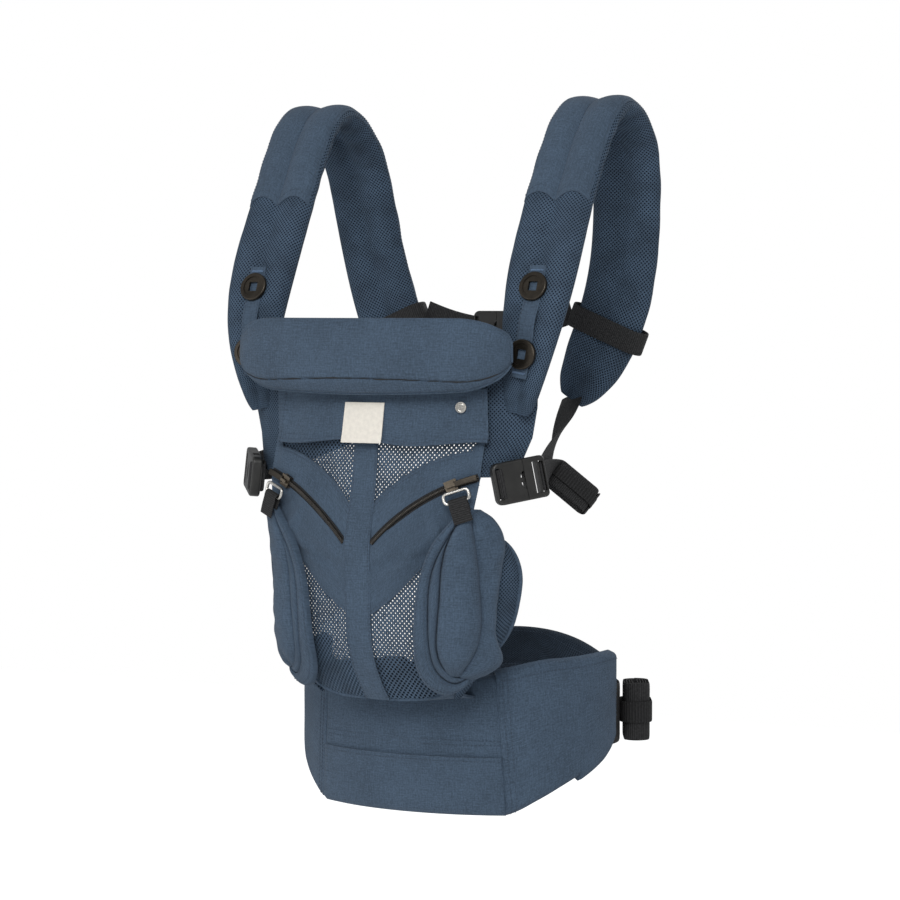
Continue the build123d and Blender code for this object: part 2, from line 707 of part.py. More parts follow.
def seat_wing_face(z, inner, outer, thick):
    """One slice of the padded wing, from its inner to its outer edge."""
    a, b = Vector(*inner), Vector(*outer)
    across = b - a
    normal = Vector(across.Y, -across.X).normalized()
    mid = (a + b) * 0.5
    bulge = across.length * WING_BULGE
    front = mid + normal * (bulge + thick / 2)
    back = mid + normal * (bulge - thick / 2)
    a2, b2 = a - normal * WING_EDGE, b - normal * WING_EDGE
    return Plane.XY.offset(z) * loop_face(
        ThreePointArc(a, front, b),
        Line(b, b2),
        ThreePointArc(b2, back, a2),
        Line(a2, a),
    )


def seat_wings(shell, mesh):
    wing = loft([seat_wing_face(*row) for row in WING_SLICES])
    wing = largest(wing - shell - mesh)
    wing = keep_pair("seat_wing", wing)
    shift_x, shift_y = BINDING_SHIFT
    inner = [Vector(edge[0] - shift_x, edge[1] - shift_y, z) for z, edge, _, _ in WING_SLICES]
    path = Spline(*inner)
    binding = sweep(Plane(origin=path @ 0, z_dir=path % 0) * Circle(BINDING_RADIUS), path=path)
    binding = solids_of(binding - shell - wing)
    both_sides("seat_bindings", binding)
    return wing, binding


def flap_slices(outward, depth):
    """Top and bottom slices of a sheet hanging in front of the yoke's lower edge."""
    half, centre_y, edge_y = yoke_row(FLAP_TOP)
    lean = SEAM_GAP + FLAP_LEAN
    rows = [
        (YOKE_BOTTOM - FLAP_DROP, half + 1.5, centre_y - lean, edge_y - lean),
        (FLAP_TOP, half + 1.5, centre_y - SEAM_GAP, edge_y - SEAM_GAP),
    ]
    return [slice_face(z, h, c - outward, e - outward, depth) for z, h, c, e in rows]


def body_trim(shell):
    """Yoke flap with its free lower edge, bare label and snap."""
    flap = loft(flap_slices(FLAP_THICKNESS, FLAP_THICKNESS), ruled=True) - shell
    skin = loft(flap_slices(FLAP_THICKNESS + LABEL_THICKNESS, LABEL_THICKNESS), ruled=True)
    tag = front_prism(Pos(0, FLAP_TOP - LABEL_DROP) * RectangleRounded(LABEL_WIDTH, LABEL_HEIGHT, 2))
    keep("front_label", (skin & tag) - flap)
    half, centre_y, edge_y = yoke_row(FLAP_TOP)
    lean = FLAP_LEAN * SNAP_DROP / (FLAP_TOP - YOKE_BOTTOM + FLAP_DROP)
    y = edge_y - (edge_y - centre_y) * (1 - (SNAP_X / half) ** 2)
    y -= FLAP_THICKNESS + lean + SNAP_PROUD
    spot = Plane(origin=(SNAP_X, y, FLAP_TOP - SNAP_DROP), z_dir=SNAP_FACING)
    groove = Pos(0, 0, SNAP_HEIGHT / 2 - 0.3) * Torus(SNAP_RADIUS - 1.6, 0.7)
    snap = spot * (Cylinder(SNAP_RADIUS, SNAP_HEIGHT) - groove)
    keep("front_snap", snap - shell)
    keep("yoke_flap", flap - NODES["front_snap"])


# ---- shoulder straps --------------------------------------------------------------
def strap_path():
    return Spline(*[row[:3] for row in STRAP_STATIONS])


def strap_plane(path, where):
    tangent = path % where
    across = Vector(1, 0, 0) - tangent * tangent.X
    return Plane(origin=path @ where, x_dir=across.normalized(), z_dir=tangent)


def two_channel(width, thick):
    """Strap section: two padded channels with a quilted groove between them."""
    w, t = width / 2, thick / 2
    groove = t * GROOVE_SHARE
    return loop_face(
        ThreePointArc((-w + 2, t * 0.5), (-w * 0.5, t), (0, groove)),
        ThreePointArc((0, groove), (w * 0.5, t), (w - 2, t * 0.5)),
        ThreePointArc((w - 2, t * 0.5), (w, 0), (w - 2, -t * 0.5)),
        ThreePointArc((w - 2, -t * 0.5), (w * 0.5, -t), (0, -groove)),
        ThreePointArc((0, -groove), (-w * 0.5, -t), (-w + 2, -t * 0.5)),
        ThreePointArc((-w + 2, -t * 0.5), (-w, 0), (-w + 2, t * 0.5)),
    )


def station_turns(path):
    return [path.param_at_point(Vector(*row[:3])) for row in STRAP_STATIONS]


def height_turn(path, z):
    """Where the front half of the strap passes a height."""
    low, high = 0.0, 0.4
    while high - low > 1e-4:
        middle = (low + high) / 2
        low, high = (middle, high) if (path @ middle).Z < z else (low, middle)
    return low


def straps():
    path = strap_path()
    turns = station_turns(path)

    def body(inset):
        faces = []
        for turn, row in zip(turns, STRAP_STATIONS):
            faces.append(strap_plane(path, turn) * two_channel(row[3] - 2 * inset, row[4] - 2 * inset))
        return loft(faces)

    foam = body(STRAP_SKIN) & box_between((0, 300), (-300, 300), (FOAM_LOW, 700))
    cover = body(0) - foam
    right = solids_of(foam)
    keep("strap_foam_cores", Compound(right.solids() + mirrored(right).solids()))
    cover = keep_pair("shoulder_strap", cover)

    low, high = (height_turn(path, z) for z in EYELET_Z)
    ends = [low - 0.03, low, (low + high) / 2, high, high + 0.03]
    lift = STRAP_STATIONS[2][4] / 2 * GROOVE_SHARE + STRIP_LIFT
    front_sign = 1 if strap_plane(path, low).y_dir.Y < 0 else -1

    def strip_face(turn):
        plane = strap_plane(path, turn)
        return plane * Pos(0, front_sign * lift) * Rectangle(STRIP_WIDTH, STRIP_THICKNESS)

    strip = loft([strip_face(turn) for turn in ends])
    strip = solids_of(strip - cover - foam)
    rings = []
    for turn in (low, high):
        plane = strap_plane(path, turn)
        out = plane.y_dir * front_sign
        seat = lift + STRIP_THICKNESS / 2 + SEAM_GAP
        spot = Plane(origin=plane.origin + out * seat, x_dir=plane.x_dir, z_dir=out)
        ring = Pos(0, 0, EYELET_HEIGHT / 2) * Cylinder(EYELET_RADIUS, EYELET_HEIGHT)
        ring = fillet(ring.edges().group_by(Axis.Z)[-1], 1.2)
        ring -= Pos(0, 0, EYELET_HEIGHT) * Cylinder(EYELET_RADIUS - 3.6, 1.6)
        ring -= Box(EYELET_WINDOW, EYELET_WINDOW, 4 * EYELET_HEIGHT)
        rings += (spot * ring - cover).solids()
    both_sides("strap_strips", strip)
    both_sides("strap_eyelets", Compound([solid for solid in rings if solid.volume > 5]))
    return path, cover


def shoulder_panel(shell, strap):
    """Mesh gusset between the yoke and the lower end of the strap."""
    body_rows = [BODY_SLICES[4][1:], BODY_SLICES[5][1:], yoke_row(GUSSET_EDGE[-1][0])]
    faces = []
    for (z, outer), (half, _, edge_y) in zip(GUSSET_EDGE, body_rows):
        back_y = edge_y + GUSSET_DEPTH
        faces.append(Plane.XY.offset(z) * loop_face(
            Line((half, edge_y), (outer, back_y)),
            Line((outer, back_y), (outer - SHEET, back_y)),
            Line((outer - SHEET, back_y), (half - 1, edge_y + SHEET)),
            Line((half - 1, edge_y + SHEET), (half, edge_y)),
        ))
    panel = loft(faces, ruled=True)
    panel = largest(panel - shell - NODES["yoke_flap"] - strap - NODES["strap_foam_cores"])
    both_sides("shoulder_gussets", panel)
    return panel


# ---- side buckles and shoulder webbing ----------------------------------------------
def side_buckles(strap, neighbours):
    frame = buckle_frame(SIDE_BUCKLE_FROM, SIDE_BUCKLE_TO, SIDE_BUCKLE_OUT, SHOULDER_WEB)
    frame = frame.offset(SIDE_BUCKLE_STAND_OFF)
    female, male, arms, ends = buckle(SHOULDER_WEB)
    keep_pair("side_buckle_female", frame * female)
    keep_pair("side_buckle_male", frame * male)
    keep_pair("side_buckle_arms", frame * arms)

    # webbing tab from the body's side to the female slot
    slot_x = ends["female"] + ends["wall"] + ends["slot"] / 2
    tab = Pos(slot_x + SIDE_TAB_LENGTH / 4, 0, -SIDE_TAB_DEPTH)
    tab = tab * Box(SIDE_TAB_LENGTH, SHOULDER_WEB, WEB_THICKNESS)
    rise = Pos(slot_x, 0, 2.6 - (SIDE_TAB_DEPTH + 3.0) / 2)
    rise = rise * Box(WEB_THICKNESS, SHOULDER_WEB, SIDE_TAB_DEPTH + 3.0)
    tab = frame * (tab + rise)
    for neighbour in neighbours:
        tab = tab - neighbour
    both_sides("side_tabs", tab)

    # webbing from the strap's tapered end to the male's bars
    bar_x = ends["male"] - ends["wall"] - ends["slot"] / 2
    bar = frame.from_local_coords(Vector(bar_x, 0, 0))
    tip = Vector(*STRAP_STATIONS[-1][:3])
    run = (bar - tip).normalized()
    stop = bar - run * 1.0
    start = tip + run * 3.0
    path = Line(start, stop)
    width_dir = Vector(1, 0, 0.4)
    width_dir = (width_dir - run * width_dir.dot(run)).normalized()
    end_dir = frame.y_dir - run * frame.y_dir.dot(run)
    faces = []
    for part in (0.0, 0.25, 0.5, 0.75, 1.0):
        across = (width_dir * (1 - part) + end_dir.normalized() * part).normalized()
        plane = Plane(origin=path @ part, x_dir=across, z_dir=run)
        faces.append(plane * Rectangle(SHOULDER_WEB - 2.0, WEB_THICKNESS))
    webbing = loft(faces)
    keep_pair("strap_webbing", webbing, [strap, frame * male, NODES["strap_foam_cores"]])

    # spare webbing, folded flat beside the male part in an elastic keeper
    length, thick = WEBBING_ROLL
    x_dir = Vector(*ROLL_ALONG)
    roll_plane = Plane(origin=ROLL_CENTRE, x_dir=x_dir, z_dir=x_dir.cross(Vector(*ROLL_ACROSS)))
    roll = roll_plane * extrude(SlotOverall(length, thick), SHOULDER_WEB / 2, both=True)
    neck_to = frame.from_local_coords(Vector(ends["male"] + 0.4, 0, 1.5))
    neck_from = roll_plane.origin - x_dir * (length / 2 - 3)
    neck_dir = (neck_to - neck_from).normalized()
    neck_plane = Plane(origin=neck_from, x_dir=roll_plane.z_dir, z_dir=neck_dir)
    neck = neck_plane * extrude(Rectangle(SHOULDER_WEB, WEB_THICKNESS), (neck_to - neck_from).length)
    keeper = SlotOverall(length + 2.0, thick + 2.0)
    keeper = roll_plane * extrude(keeper, 5, both=True)
    roll = roll + neck + keeper
    roll = roll - frame * male - solids_of(webbing)
    keep_pair("webbing_roll", max(roll.solids(), key=lambda solid: solid.volume))
    return frame


# ---- rings above the wings ------------------------------------------------------------
def wing_loops(neighbours):
    """A wire loop lies over the zip's outer end; a webbing tab hangs from it."""
    along = Vector(*LOOP_ALONG).normalized()
    out = Vector(*LOOP_OUT)
    out = (out - along * out.dot(along)).normalized()
    plane = Plane(origin=LOOP_CENTRE, x_dir=along, z_dir=out)
    wire = LOOP_WIRE / 2
    rail = RectangleRounded(LOOP_LENGTH - 2 * wire, LOOP_HEIGHT - 2 * wire, LOOP_CORNER).wire()
    start = Plane(origin=rail @ 0, z_dir=rail % 0)
    ring = sweep(start * Circle(wire), path=rail)
    keep_pair("loop_ring", plane * ring)
    bar_y = -LOOP_HEIGHT / 2 + wire
    tab = Pos(0, bar_y - TAB_DROP, -TAB_SINK)
    tab = tab * Box(TAB_WIDTH, TAB_LENGTH, 2 * (WEB_THICKNESS - TAB_SINK) + LOOP_WIRE)
    tab -= Pos(0, bar_y, 0) * (Rot(0, 90, 0) * Cylinder(wire + RUNNING_GAP, 2 * TAB_WIDTH))
    tab = plane * tab
    for neighbour in neighbours:
        tab = tab - neighbour
    both_sides("wing_ring_tabs", max(tab.solids(), key=lambda solid: solid.volume))


# ---- head support ---------------------------------------------------------------------
def pillow(inset):
    half = HEAD_HALF - inset
    low, high = HEAD_BOTTOM + inset, HEAD_TOP - SHEET / 2 - RUNNING_GAP - inset
    thick = HEAD_THICKNESS / 2 - inset
    plan_half = HEAD_THICKNESS * 0.28 - inset * 0.5
    past = half + 2.0
    plan = loop_face(
        ThreePointArc(
            (-past, HEAD_END_Y - plan_half), (0, HEAD_CENTRE_Y - thick), (past, HEAD_END_Y - plan_half)
        ),
        Line((past, HEAD_END_Y - plan_half), (past, HEAD_END_Y + plan_half)),
        ThreePointArc(
            (past, HEAD_END_Y + plan_half), (0, HEAD_CENTRE_Y + thick), (-past, HEAD_END_Y + plan_half)
        ),
        Line((-past, HEAD_END_Y + plan_half), (-past, HEAD_END_Y - plan_half)),
    )
    solid = extrude(Plane.XY.offset(low) * plan, high - low)
    outline = Pos(0, (low + high) / 2) * Rectangle(2 * half, high - low)
    outline = fillet(outline.vertices(), HEAD_END_RADIUS - inset)
    return solid & front_prism(outline)


def fold_rod(radius, half):
    return Pos(0, HEAD_CENTRE_Y, HEAD_TOP) * (Rot(0, 90, 0) * Cylinder(radius, 2 * half))


def top_fold():
    """The yoke's upper edge, folded forward into the roll the pillow turns on."""
    top_z, half, centre_y, edge_y = BODY_SLICES[-1]
    high = HEAD_TOP + SHEET / 2
    zone = box_between((-FOLD_HALF, FOLD_HALF), (-260, 0), (top_z, high))
    stand = extrude(slice_face(top_z, half, centre_y, edge_y, SHEET), high - top_z)
    ledge = box_between((-FOLD_HALF, FOLD_HALF), (HEAD_CENTRE_Y, edge_y), (HEAD_TOP - SHEET / 2, high))
    behind = extrude(slice_face(top_z, half, centre_y, edge_y, 60), high - top_z)
    return fold_rod(FOLD_RADIUS, FOLD_HALF) + (stand & zone) + (ledge - behind)


def head_support():
    channel = fold_rod(FOLD_RADIUS + RUNNING_GAP, HEAD_HALF + 5)
    inner_channel = fold_rod(FOLD_RADIUS + RUNNING_GAP + FILLING_INSET, HEAD_HALF + 5)
    filling = keep("head_filling", pillow(FILLING_INSET) - inner_channel)
    keep("head_support", pillow(0) - channel - filling)


# ---- chest strap ------------------------------------------------------------------------
def chest_strap(path):
    """Loops that slide up and down the straps' backs, webbing and a small buckle."""
    turns = [0.6 + 0.4 * i / 400 for i in range(400)]
    spot = min(turns, key=lambda turn: abs((path @ turn).Z - CHEST_Z))
    plane = strap_plane(path, spot)
    width = STRAP_STATIONS[8][3] + 2 * CHEST_CLEARANCE
    thick = STRAP_STATIONS[8][4] + 2 * CHEST_CLEARANCE
    reach = width + thick * 0.4
    inner = SlotOverall(reach, thick)
    outer = SlotOverall(reach + 2 * WEB_THICKNESS, thick + 2 * WEB_THICKNESS)
    loop = plane * extrude(outer - inner, CHEST_WEB / 2, both=True)
    keep_pair("chest_loop", loop)

    female, male, arms, ends = buckle(CHEST_WEB)
    loop_edge = plane.from_local_coords(Vector(-reach / 2 - WEB_THICKNESS, 0, 0))
    centre = Vector(0, loop_edge.Y, loop_edge.Z - CHEST_SAG)
    frame = Plane(origin=centre, x_dir=(1, 0, 0), z_dir=(0, 1, 0))
    keep("chest_buckle_female", frame * female)
    keep("chest_buckle_male", frame * male)
    keep("chest_buckle_arms", frame * arms)
    taken = NODES["chest_buckle_female"] + NODES["chest_buckle_male"]
    for side, name in ((1, "right"), (-1, "left")):
        x = (ends["male"] - ends["wall"]) if side > 0 else (ends["female"] + ends["wall"])
        start = Vector(side * loop_edge.X, loop_edge.Y, loop_edge.Z)
        stop = centre + Vector(x, 0, 0)
        run = (stop - start).normalized()
        web_plane = Plane(origin=start, x_dir=run.cross(Vector(0, 1, 0)), z_dir=run)
        web = web_plane * extrude(Rectangle(CHEST_WEB, WEB_THICKNESS), (stop - start).length)
        keep("chest_webbing_" + name, largest(web - taken - NODES["chest_loop_" + name]))
    return plane


def main():
    os.makedirs("parts", exist_ok=True)
    waistband()
    belt_and_buckle()
    lumbar()
    shell, tape = body_panels()
    zip_slider()
    mesh = side_mesh(shell)
    wing, binding = seat_wings(shell, mesh)
    body_trim(shell)
    path, strap = straps()
    gusset = shoulder_panel(shell, strap)
    side_buckles(strap, [shell, mesh, wing, gusset])
    wing_loops([shell, wing, mesh, tape, binding])
    head_support()
    chest_strap(path)
    for name, shape in NODES.items():
        export_step(shape, f"parts/{name}.step")


main()
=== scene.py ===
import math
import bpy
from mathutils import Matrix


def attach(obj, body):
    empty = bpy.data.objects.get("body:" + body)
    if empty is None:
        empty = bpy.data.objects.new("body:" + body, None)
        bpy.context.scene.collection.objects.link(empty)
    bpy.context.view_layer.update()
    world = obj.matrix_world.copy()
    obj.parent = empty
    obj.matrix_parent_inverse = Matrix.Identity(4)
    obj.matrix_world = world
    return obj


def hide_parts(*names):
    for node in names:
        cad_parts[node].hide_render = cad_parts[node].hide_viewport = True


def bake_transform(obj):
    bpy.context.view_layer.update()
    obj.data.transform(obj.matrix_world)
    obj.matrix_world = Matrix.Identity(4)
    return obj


bl_info = {
    "name": "Soft Baby Carrier",
    "version": (1, 0, 0),
    "blender": (4, 5, 0),
    "location": "View3D > Sidebar > Carrier",
    "description": "Dresses the packed carrier model in cloth, webbing and stitching",
    "category": "Object",
}

import bmesh
import bpy
import numpy as np
from mathutils import Vector

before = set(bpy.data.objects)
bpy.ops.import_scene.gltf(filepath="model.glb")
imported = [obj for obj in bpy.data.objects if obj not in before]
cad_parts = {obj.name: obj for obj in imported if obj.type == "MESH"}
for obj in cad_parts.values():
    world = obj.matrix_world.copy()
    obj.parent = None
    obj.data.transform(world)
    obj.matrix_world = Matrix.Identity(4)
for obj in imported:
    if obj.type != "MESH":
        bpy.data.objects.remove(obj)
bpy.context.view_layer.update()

# Shapes are worked out in millimetres, in the frame of the solids, and become
# metres when a mesh is made.  These sizes repeat the ones of the solids.
MM = 0.001
TURN = 2 * math.pi

WAIST_HALF_WIDTH, WAIST_HALF_DEPTH, BAND_THICKNESS = 148.0, 108.0, 12.0
BAND_FRONT_HEIGHT, WING_END_Y, WING_END_BOTTOM = 119.0, 5.0, 54.0
WING_LOWER_START_Y, WING_CORNER_RADIUS = -92.0, 22.0
FRONT_HALF_TOP, FRONT_HALF_BOTTOM, POCKET_TOP = 73.0, 90.0, 50.0
WAIST_WEB, SHOULDER_WEB, CHEST_WEB, WEB_THICKNESS = 50.0, 25.0, 20.0, 1.6
BELT_CENTRE_Z, BUCKLE_START = 79.0, 8.0
ROLL_LENGTH, ROLL_THICKNESS, ROLL_START, KEEPER_WIDTH = 46.0, 25.0, 13.0, 18.0
RUNNING_GAP = 0.35
LUMBAR_LEFT, LUMBAR_RIGHT, LUMBAR_TOP, LUMBAR_END_TOP = -86.7, 115.0, 141.0, 122.0
LUMBAR_BOTTOM, LUMBAR_NOTCH_TOP, LUMBAR_NOTCH_HALF, LUMBAR_THICKNESS = 46.0, 104.0, 26.0, 12.0
LUMBAR_STAND_OFF, SLEEVE_WIDTH, SLEEVE_ROOM = 7.0, 24.0, 2.8
BODY_SLICES = [
    (100.0, 66.0, -146.0, -131.0),
    (125.0, 80.0, -164.0, -146.0),
    (180.0, 88.0, -176.0, -156.0),
    (235.0, 92.0, -178.0, -158.0),
    (288.0, 100.0, -167.0, -151.0),
    (320.0, 101.0, -163.0, -141.0),
    (410.0, 101.0, -160.0, -143.0),
]
SIDE_EDGE = [(100.0, 88.0, -114.0), (180.0, 122.0, -112.0), (288.0, 124.0, -122.0)]
STRIP_HALF, YOKE_BOTTOM, YOKE_HALF, FLAP_HALF = 12.0, 320.0, 101.0, 102.5
GUSSET_LOW, GUSSET_HIGH = 288.0, 376.0
FLAP_TOP, FLAP_DROP, FLAP_THICKNESS, FLAP_LEAN = 352.0, 12.0, 2.4, 7.0
LABEL_WIDTH, LABEL_HEIGHT, LABEL_CENTRE = 37.0, 34.0, 331.0
ZIP_LOW, ZIP_MID, ZIP_TOP = (14.0, -178.5, 233.0), (57.0, -168.5, 269.0), (100.0, -152.5, 288.0)
ZIP_COIL, ZIP_COIL_HEIGHT, ZIP_TAPE_WIDTH, SLIDER_PARK = 5.0, 2.4, 15.0, 10.6
TAPE_SEWN_IN, PULLER_WIDTH = 8.5, 5.0
WING_ROWS = [
    (100.0, (58.0, -150.0), (88.0, -122.0)),
    (140.0, (60.0, -174.0), (112.0, -130.0)),
    (200.0, (64.0, -181.0), (116.0, -131.0)),
    (250.0, (76.0, -172.0), (112.0, -136.0)),
    (275.0, (90.0, -162.0), (100.0, -152.0)),
]
WING_WIDTH = 55.0
# the sewn lines of a seat wing: share of its width and height, from the top down
WING_BORDER = [
    (0.2, 262.0), (0.12, 252.0), (0.02, 238.0), (-0.02, 222.0), (-0.05, 200.0), (-0.06, 175.0),
    (-0.08, 147.0), (-0.09, 128.0), (-0.02, 115.0), (0.18, 108.5), (0.38, 110.0), (0.57, 118.0),
]
WING_BINDING = [
    (0.24, 254.0), (0.18, 240.0), (0.1, 222.0), (0.07, 202.0), (0.08, 172.0), (0.09, 147.0),
    (0.11, 135.0), (0.18, 125.0), (0.38, 118.5), (0.57, 124.0),
]
WING_FOLD = [
    (0.26, 256.0), (0.2, 243.0), (0.17, 222.0), (0.19, 189.0), (0.17, 160.0), (0.19, 138.0), (0.3, 123.0),
]
WING_CREASE = [
    (0.46, 258.0), (0.5, 243.0), (0.6, 213.0), (0.66, 184.0), (0.66, 160.0), (0.59, 143.0), (0.42, 123.0),
]
WING_SIDE = [
    (0.72, 262.0), (0.88, 255.0), (0.95, 236.0), (0.88, 204.0), (0.84, 176.0), (0.88, 151.0),
    (0.98, 134.0), (0.84, 126.0), (0.62, 121.0),
]
LOOP_CENTRE, LOOP_ALONG, LOOP_OUT = (88.0, -167.5, 273.0), (0.86, 0.36, 0.3), (0.3, -1.0, 0.1)
LOOP_HEIGHT, LOOP_WIRE, TAB_WIDTH = 11.0, 2.6, 16.0
HEAD_HALF, HEAD_TOP, HEAD_BOTTOM = 131.0, 412.1, 357.0
HEAD_CENTRE_Y, HEAD_END_Y, HEAD_THICKNESS, HEAD_END_RADIUS = -178.0, -152.0, 22.0, 24.0
FOLD_Z, FOLD_RADIUS, FOLD_HALF = 414.0, 3.5, 92.0
STRAP_STATIONS = [
    (124.0, -130.0, 340.0, 26.0, 8.0),
    (132.0, -130.0, 385.0, 45.0, 14.0),
    (136.0, -116.0, 440.0, 61.0, 18.0),
    (136.0, -80.0, 515.0, 63.0, 18.0),
    (137.0, -54.0, 560.0, 63.0, 18.0),
    (138.0, -16.0, 594.0, 63.0, 18.0),
    (137.0, 30.0, 570.0, 63.0, 18.0),
    (132.0, 50.0, 515.0, 63.0, 18.0),
    (124.0, 58.0, 460.0, 63.0, 18.0),
    (105.0, 61.0, 400.0, 62.0, 17.0),
    (88.0, 60.0, 368.0, 52.0, 14.0),
    (74.0, 59.0, 346.0, 32.0, 9.0),
]
EYELET_Z, STRIP_WIDTH, COTTON_FROM_Z = (387.0, 440.0), 15.0, 512.0
SIDE_BUCKLE_FROM, SIDE_BUCKLE_TO = (106.0, -146.0, 281.0), (140.0, -106.0, 290.0)
SIDE_BUCKLE_OUT, SIDE_BUCKLE_STAND_OFF = (0.62, -0.78, 0.05), 12.0
WEBBING_ROLL, ROLL_CENTRE = (46.0, 14.0), (136.0, -58.0, 277.0)
CHEST_Z, CHEST_SAG, CHEST_CLEARANCE = 408.0, 14.0, 0.8
SIDES = ((1, "right"), (-1, "left"))
# away from the wearer, which is the way most of the cloth faces
OUTWARD = (0, -1, 0)


# ---- settings a user would change ----------------------------------------------------
def size_setting(label, text, default):
    return bpy.props.FloatProperty(name=label, description=text, default=default * MM, unit="LENGTH")


def colour_setting(label, text, default):
    return bpy.props.FloatVectorProperty(
        name=label, description=text, default=default, size=3, min=0, max=1, subtype="COLOR_GAMMA"
    )


class CarrierSizes(bpy.types.PropertyGroup):
    mesh_pitch: size_setting("Mesh pitch", "Spacing of the holes in the spacer mesh", 3.1)
    net_pitch: size_setting("Net pitch", "Spacing of the holes in the open net", 3.8)
    thread: size_setting("Thread", "Spacing of the threads in the cotton", 0.7)
    stitch_pitch: size_setting("Stitch pitch", "Distance from one stitch to the next", 3.2)
    stitch_length: size_setting("Stitch length", "Length of thread that shows in one stitch", 2.3)
    tooth_pitch: size_setting("Tooth pitch", "Distance between turns of the zip coil", 1.25)


class CarrierColours(bpy.types.PropertyGroup):
    cotton: colour_setting("Cotton", "Colour of the woven cotton", (0.245, 0.302, 0.365))
    mesh: colour_setting("Spacer mesh", "Colour of the mesh's yarn", (0.235, 0.295, 0.36))
    # painted shade: the dark colour given to the mesh's holes for the shade down in them
    hole_shade: colour_setting("Mesh hollows", "Colour seen down the holes of the mesh", (0.075, 0.115, 0.165))
    thread: colour_setting("Thread", "Colour of the stitches", (0.2, 0.25, 0.31))
    webbing: colour_setting("Webbing", "Colour of the webbing", (0.13, 0.13, 0.133))
    plastic: colour_setting("Plastic", "Colour of the buckles", (0.105, 0.103, 0.098))
    metal: colour_setting("Metal", "Colour of the rings", (0.72, 0.71, 0.69))
    bronze: colour_setting("Bronze", "Colour of the zip sliders", (0.36, 0.33, 0.29))
    label: colour_setting("Label", "Colour of the woven label", (0.885, 0.862, 0.82))


def sizes():
    return bpy.context.scene.carrier_sizes


def colours():
    return bpy.context.scene.carrier_colours


# ---- materials -----------------------------------------------------------------------
class Value:
    """A shader socket that takes part in Python arithmetic."""

    def __init__(self, finish, socket):
        self.finish, self.socket = finish, socket

    def _pair(self, operation, first, second):
        inputs = {0: first, 1: second}
        return self.finish.value("ShaderNodeMath", {"operation": operation}, inputs)

    def __add__(self, other):
        return self._pair("ADD", self, other)

    def __sub__(self, other):
        return self._pair("SUBTRACT", self, other)

    def __rsub__(self, other):
        return self._pair("SUBTRACT", other, self)

    def __mul__(self, other):
        return self._pair("MULTIPLY", self, other)

    __radd__, __rmul__ = __add__, __mul__

    def wave(self, operation="COSINE"):
        return self.finish.value("ShaderNodeMath", {"operation": operation}, {0: self})

    def smooth(self, low, high):
        """0 below low, 1 above high, with a soft step between."""
        settings = {"interpolation_type": "SMOOTHSTEP"}
        inputs = {"Value": self, "From Min": low, "From Max": high}
        return self.finish.value("ShaderNodeMapRange", settings, inputs)


class Finish:
    """One material and the helpers that fill its tree."""

    def __init__(self, name):
        self.material = bpy.data.materials.new(name)
        self.material.use_nodes = True
        self.tree = self.material.node_tree
        self.tree.nodes.clear()

    def node(self, kind, settings, inputs):
        node = self.tree.nodes.new(kind)
        for key, value in settings.items():
            setattr(node, key, value)
        for key, value in inputs.items():
            if isinstance(value, Value):
                self.tree.links.new(value.socket, node.inputs[key])
            else:
                node.inputs[key].default_value = value
        return node

    def value(self, kind, settings, inputs, output=0):
        return Value(self, self.node(kind, settings, inputs).outputs[output])

    def cloth_place(self):
        """Metres across and along the cloth, from the piece's own map."""
        place = self.value("ShaderNodeUVMap", {"uv_map": "cloth"}, {})
        parts = self.node("ShaderNodeSeparateXYZ", {}, {0: place})
        return Value(self, parts.outputs[0]), Value(self, parts.outputs[1])

    def object_place(self):
        place = self.value("ShaderNodeTexCoord", {}, {}, output="Object")
        parts = self.node("ShaderNodeSeparateXYZ", {}, {0: place})
        return [Value(self, output) for output in parts.outputs]

    def noise(self, x, y, z=0.0, detail=2.0):
        place = self.value("ShaderNodeCombineXYZ", {}, {0: x, 1: y, 2: z})
        return self.value("ShaderNodeTexNoise", {}, {"Vector": place, "Scale": 1.0, "Detail": detail})

    def mix(self, first, second, factor):
        settings = {"data_type": "RGBA"}
        return self.value("ShaderNodeMix", settings, {0: factor, 6: first, 7: second}, output=2)

    def bump(self, height, distance, strength=1.0):
        inputs = {"Height": height, "Distance": distance, "Strength": strength}
        return self.value("ShaderNodeBump", {}, inputs)

    def close(self, **inputs):
        named = {key.replace("_", " "): value for key, value in inputs.items()}
        shader = self.node("ShaderNodeBsdfPrincipled", {}, named)
        self.node("ShaderNodeOutputMaterial", {}, {"Surface": Value(self, shader.outputs[0])})
        return self.material


def linear(colour, gain=1.0):
    """Scene linear colour with alpha, from a picked display colour."""
    picked = [min(1.0, channel * gain) for channel in colour]
    return [c / 12.92 if c <= 0.04045 else ((c + 0.055) / 1.055) ** 2.4 for c in picked] + [1.0]


def cotton_finish(name, colour):
    """Plain woven cotton with slubby threads both ways."""
    finish = Finish(name)
    across, along = finish.cloth_place()
    threads = TURN / sizes().thread
    weave = (across * threads).wave() * (along * threads).wave()
    warp = finish.noise(across * 1400.0, along * 90.0)
    weft = finish.noise(across * 90.0, along * 1400.0, 4.0)
    cloudy = finish.noise(across * 28.0, along * 28.0, 9.0, 3.0)
    speck = finish.noise(across * 620.0, along * 620.0, 2.0)
    tone = (warp + weft) * 0.5 + (speck - 0.5) * 0.6 + (cloudy - 0.5) * 0.28 + weave * 0.1
    base = finish.mix(linear(colour, 0.84), linear(colour, 1.16), tone.smooth(0.2, 0.8))
    relief = weave * 0.25 + warp + weft + cloudy * 2.0
    normal = finish.bump(relief, 0.00035, 0.7)
    roughness = 0.92 - tone * 0.08
    return finish.close(
        Base_Color=base, Roughness=roughness, Normal=normal, Specular_IOR_Level=0.2, Sheen_Weight=0.04
    )


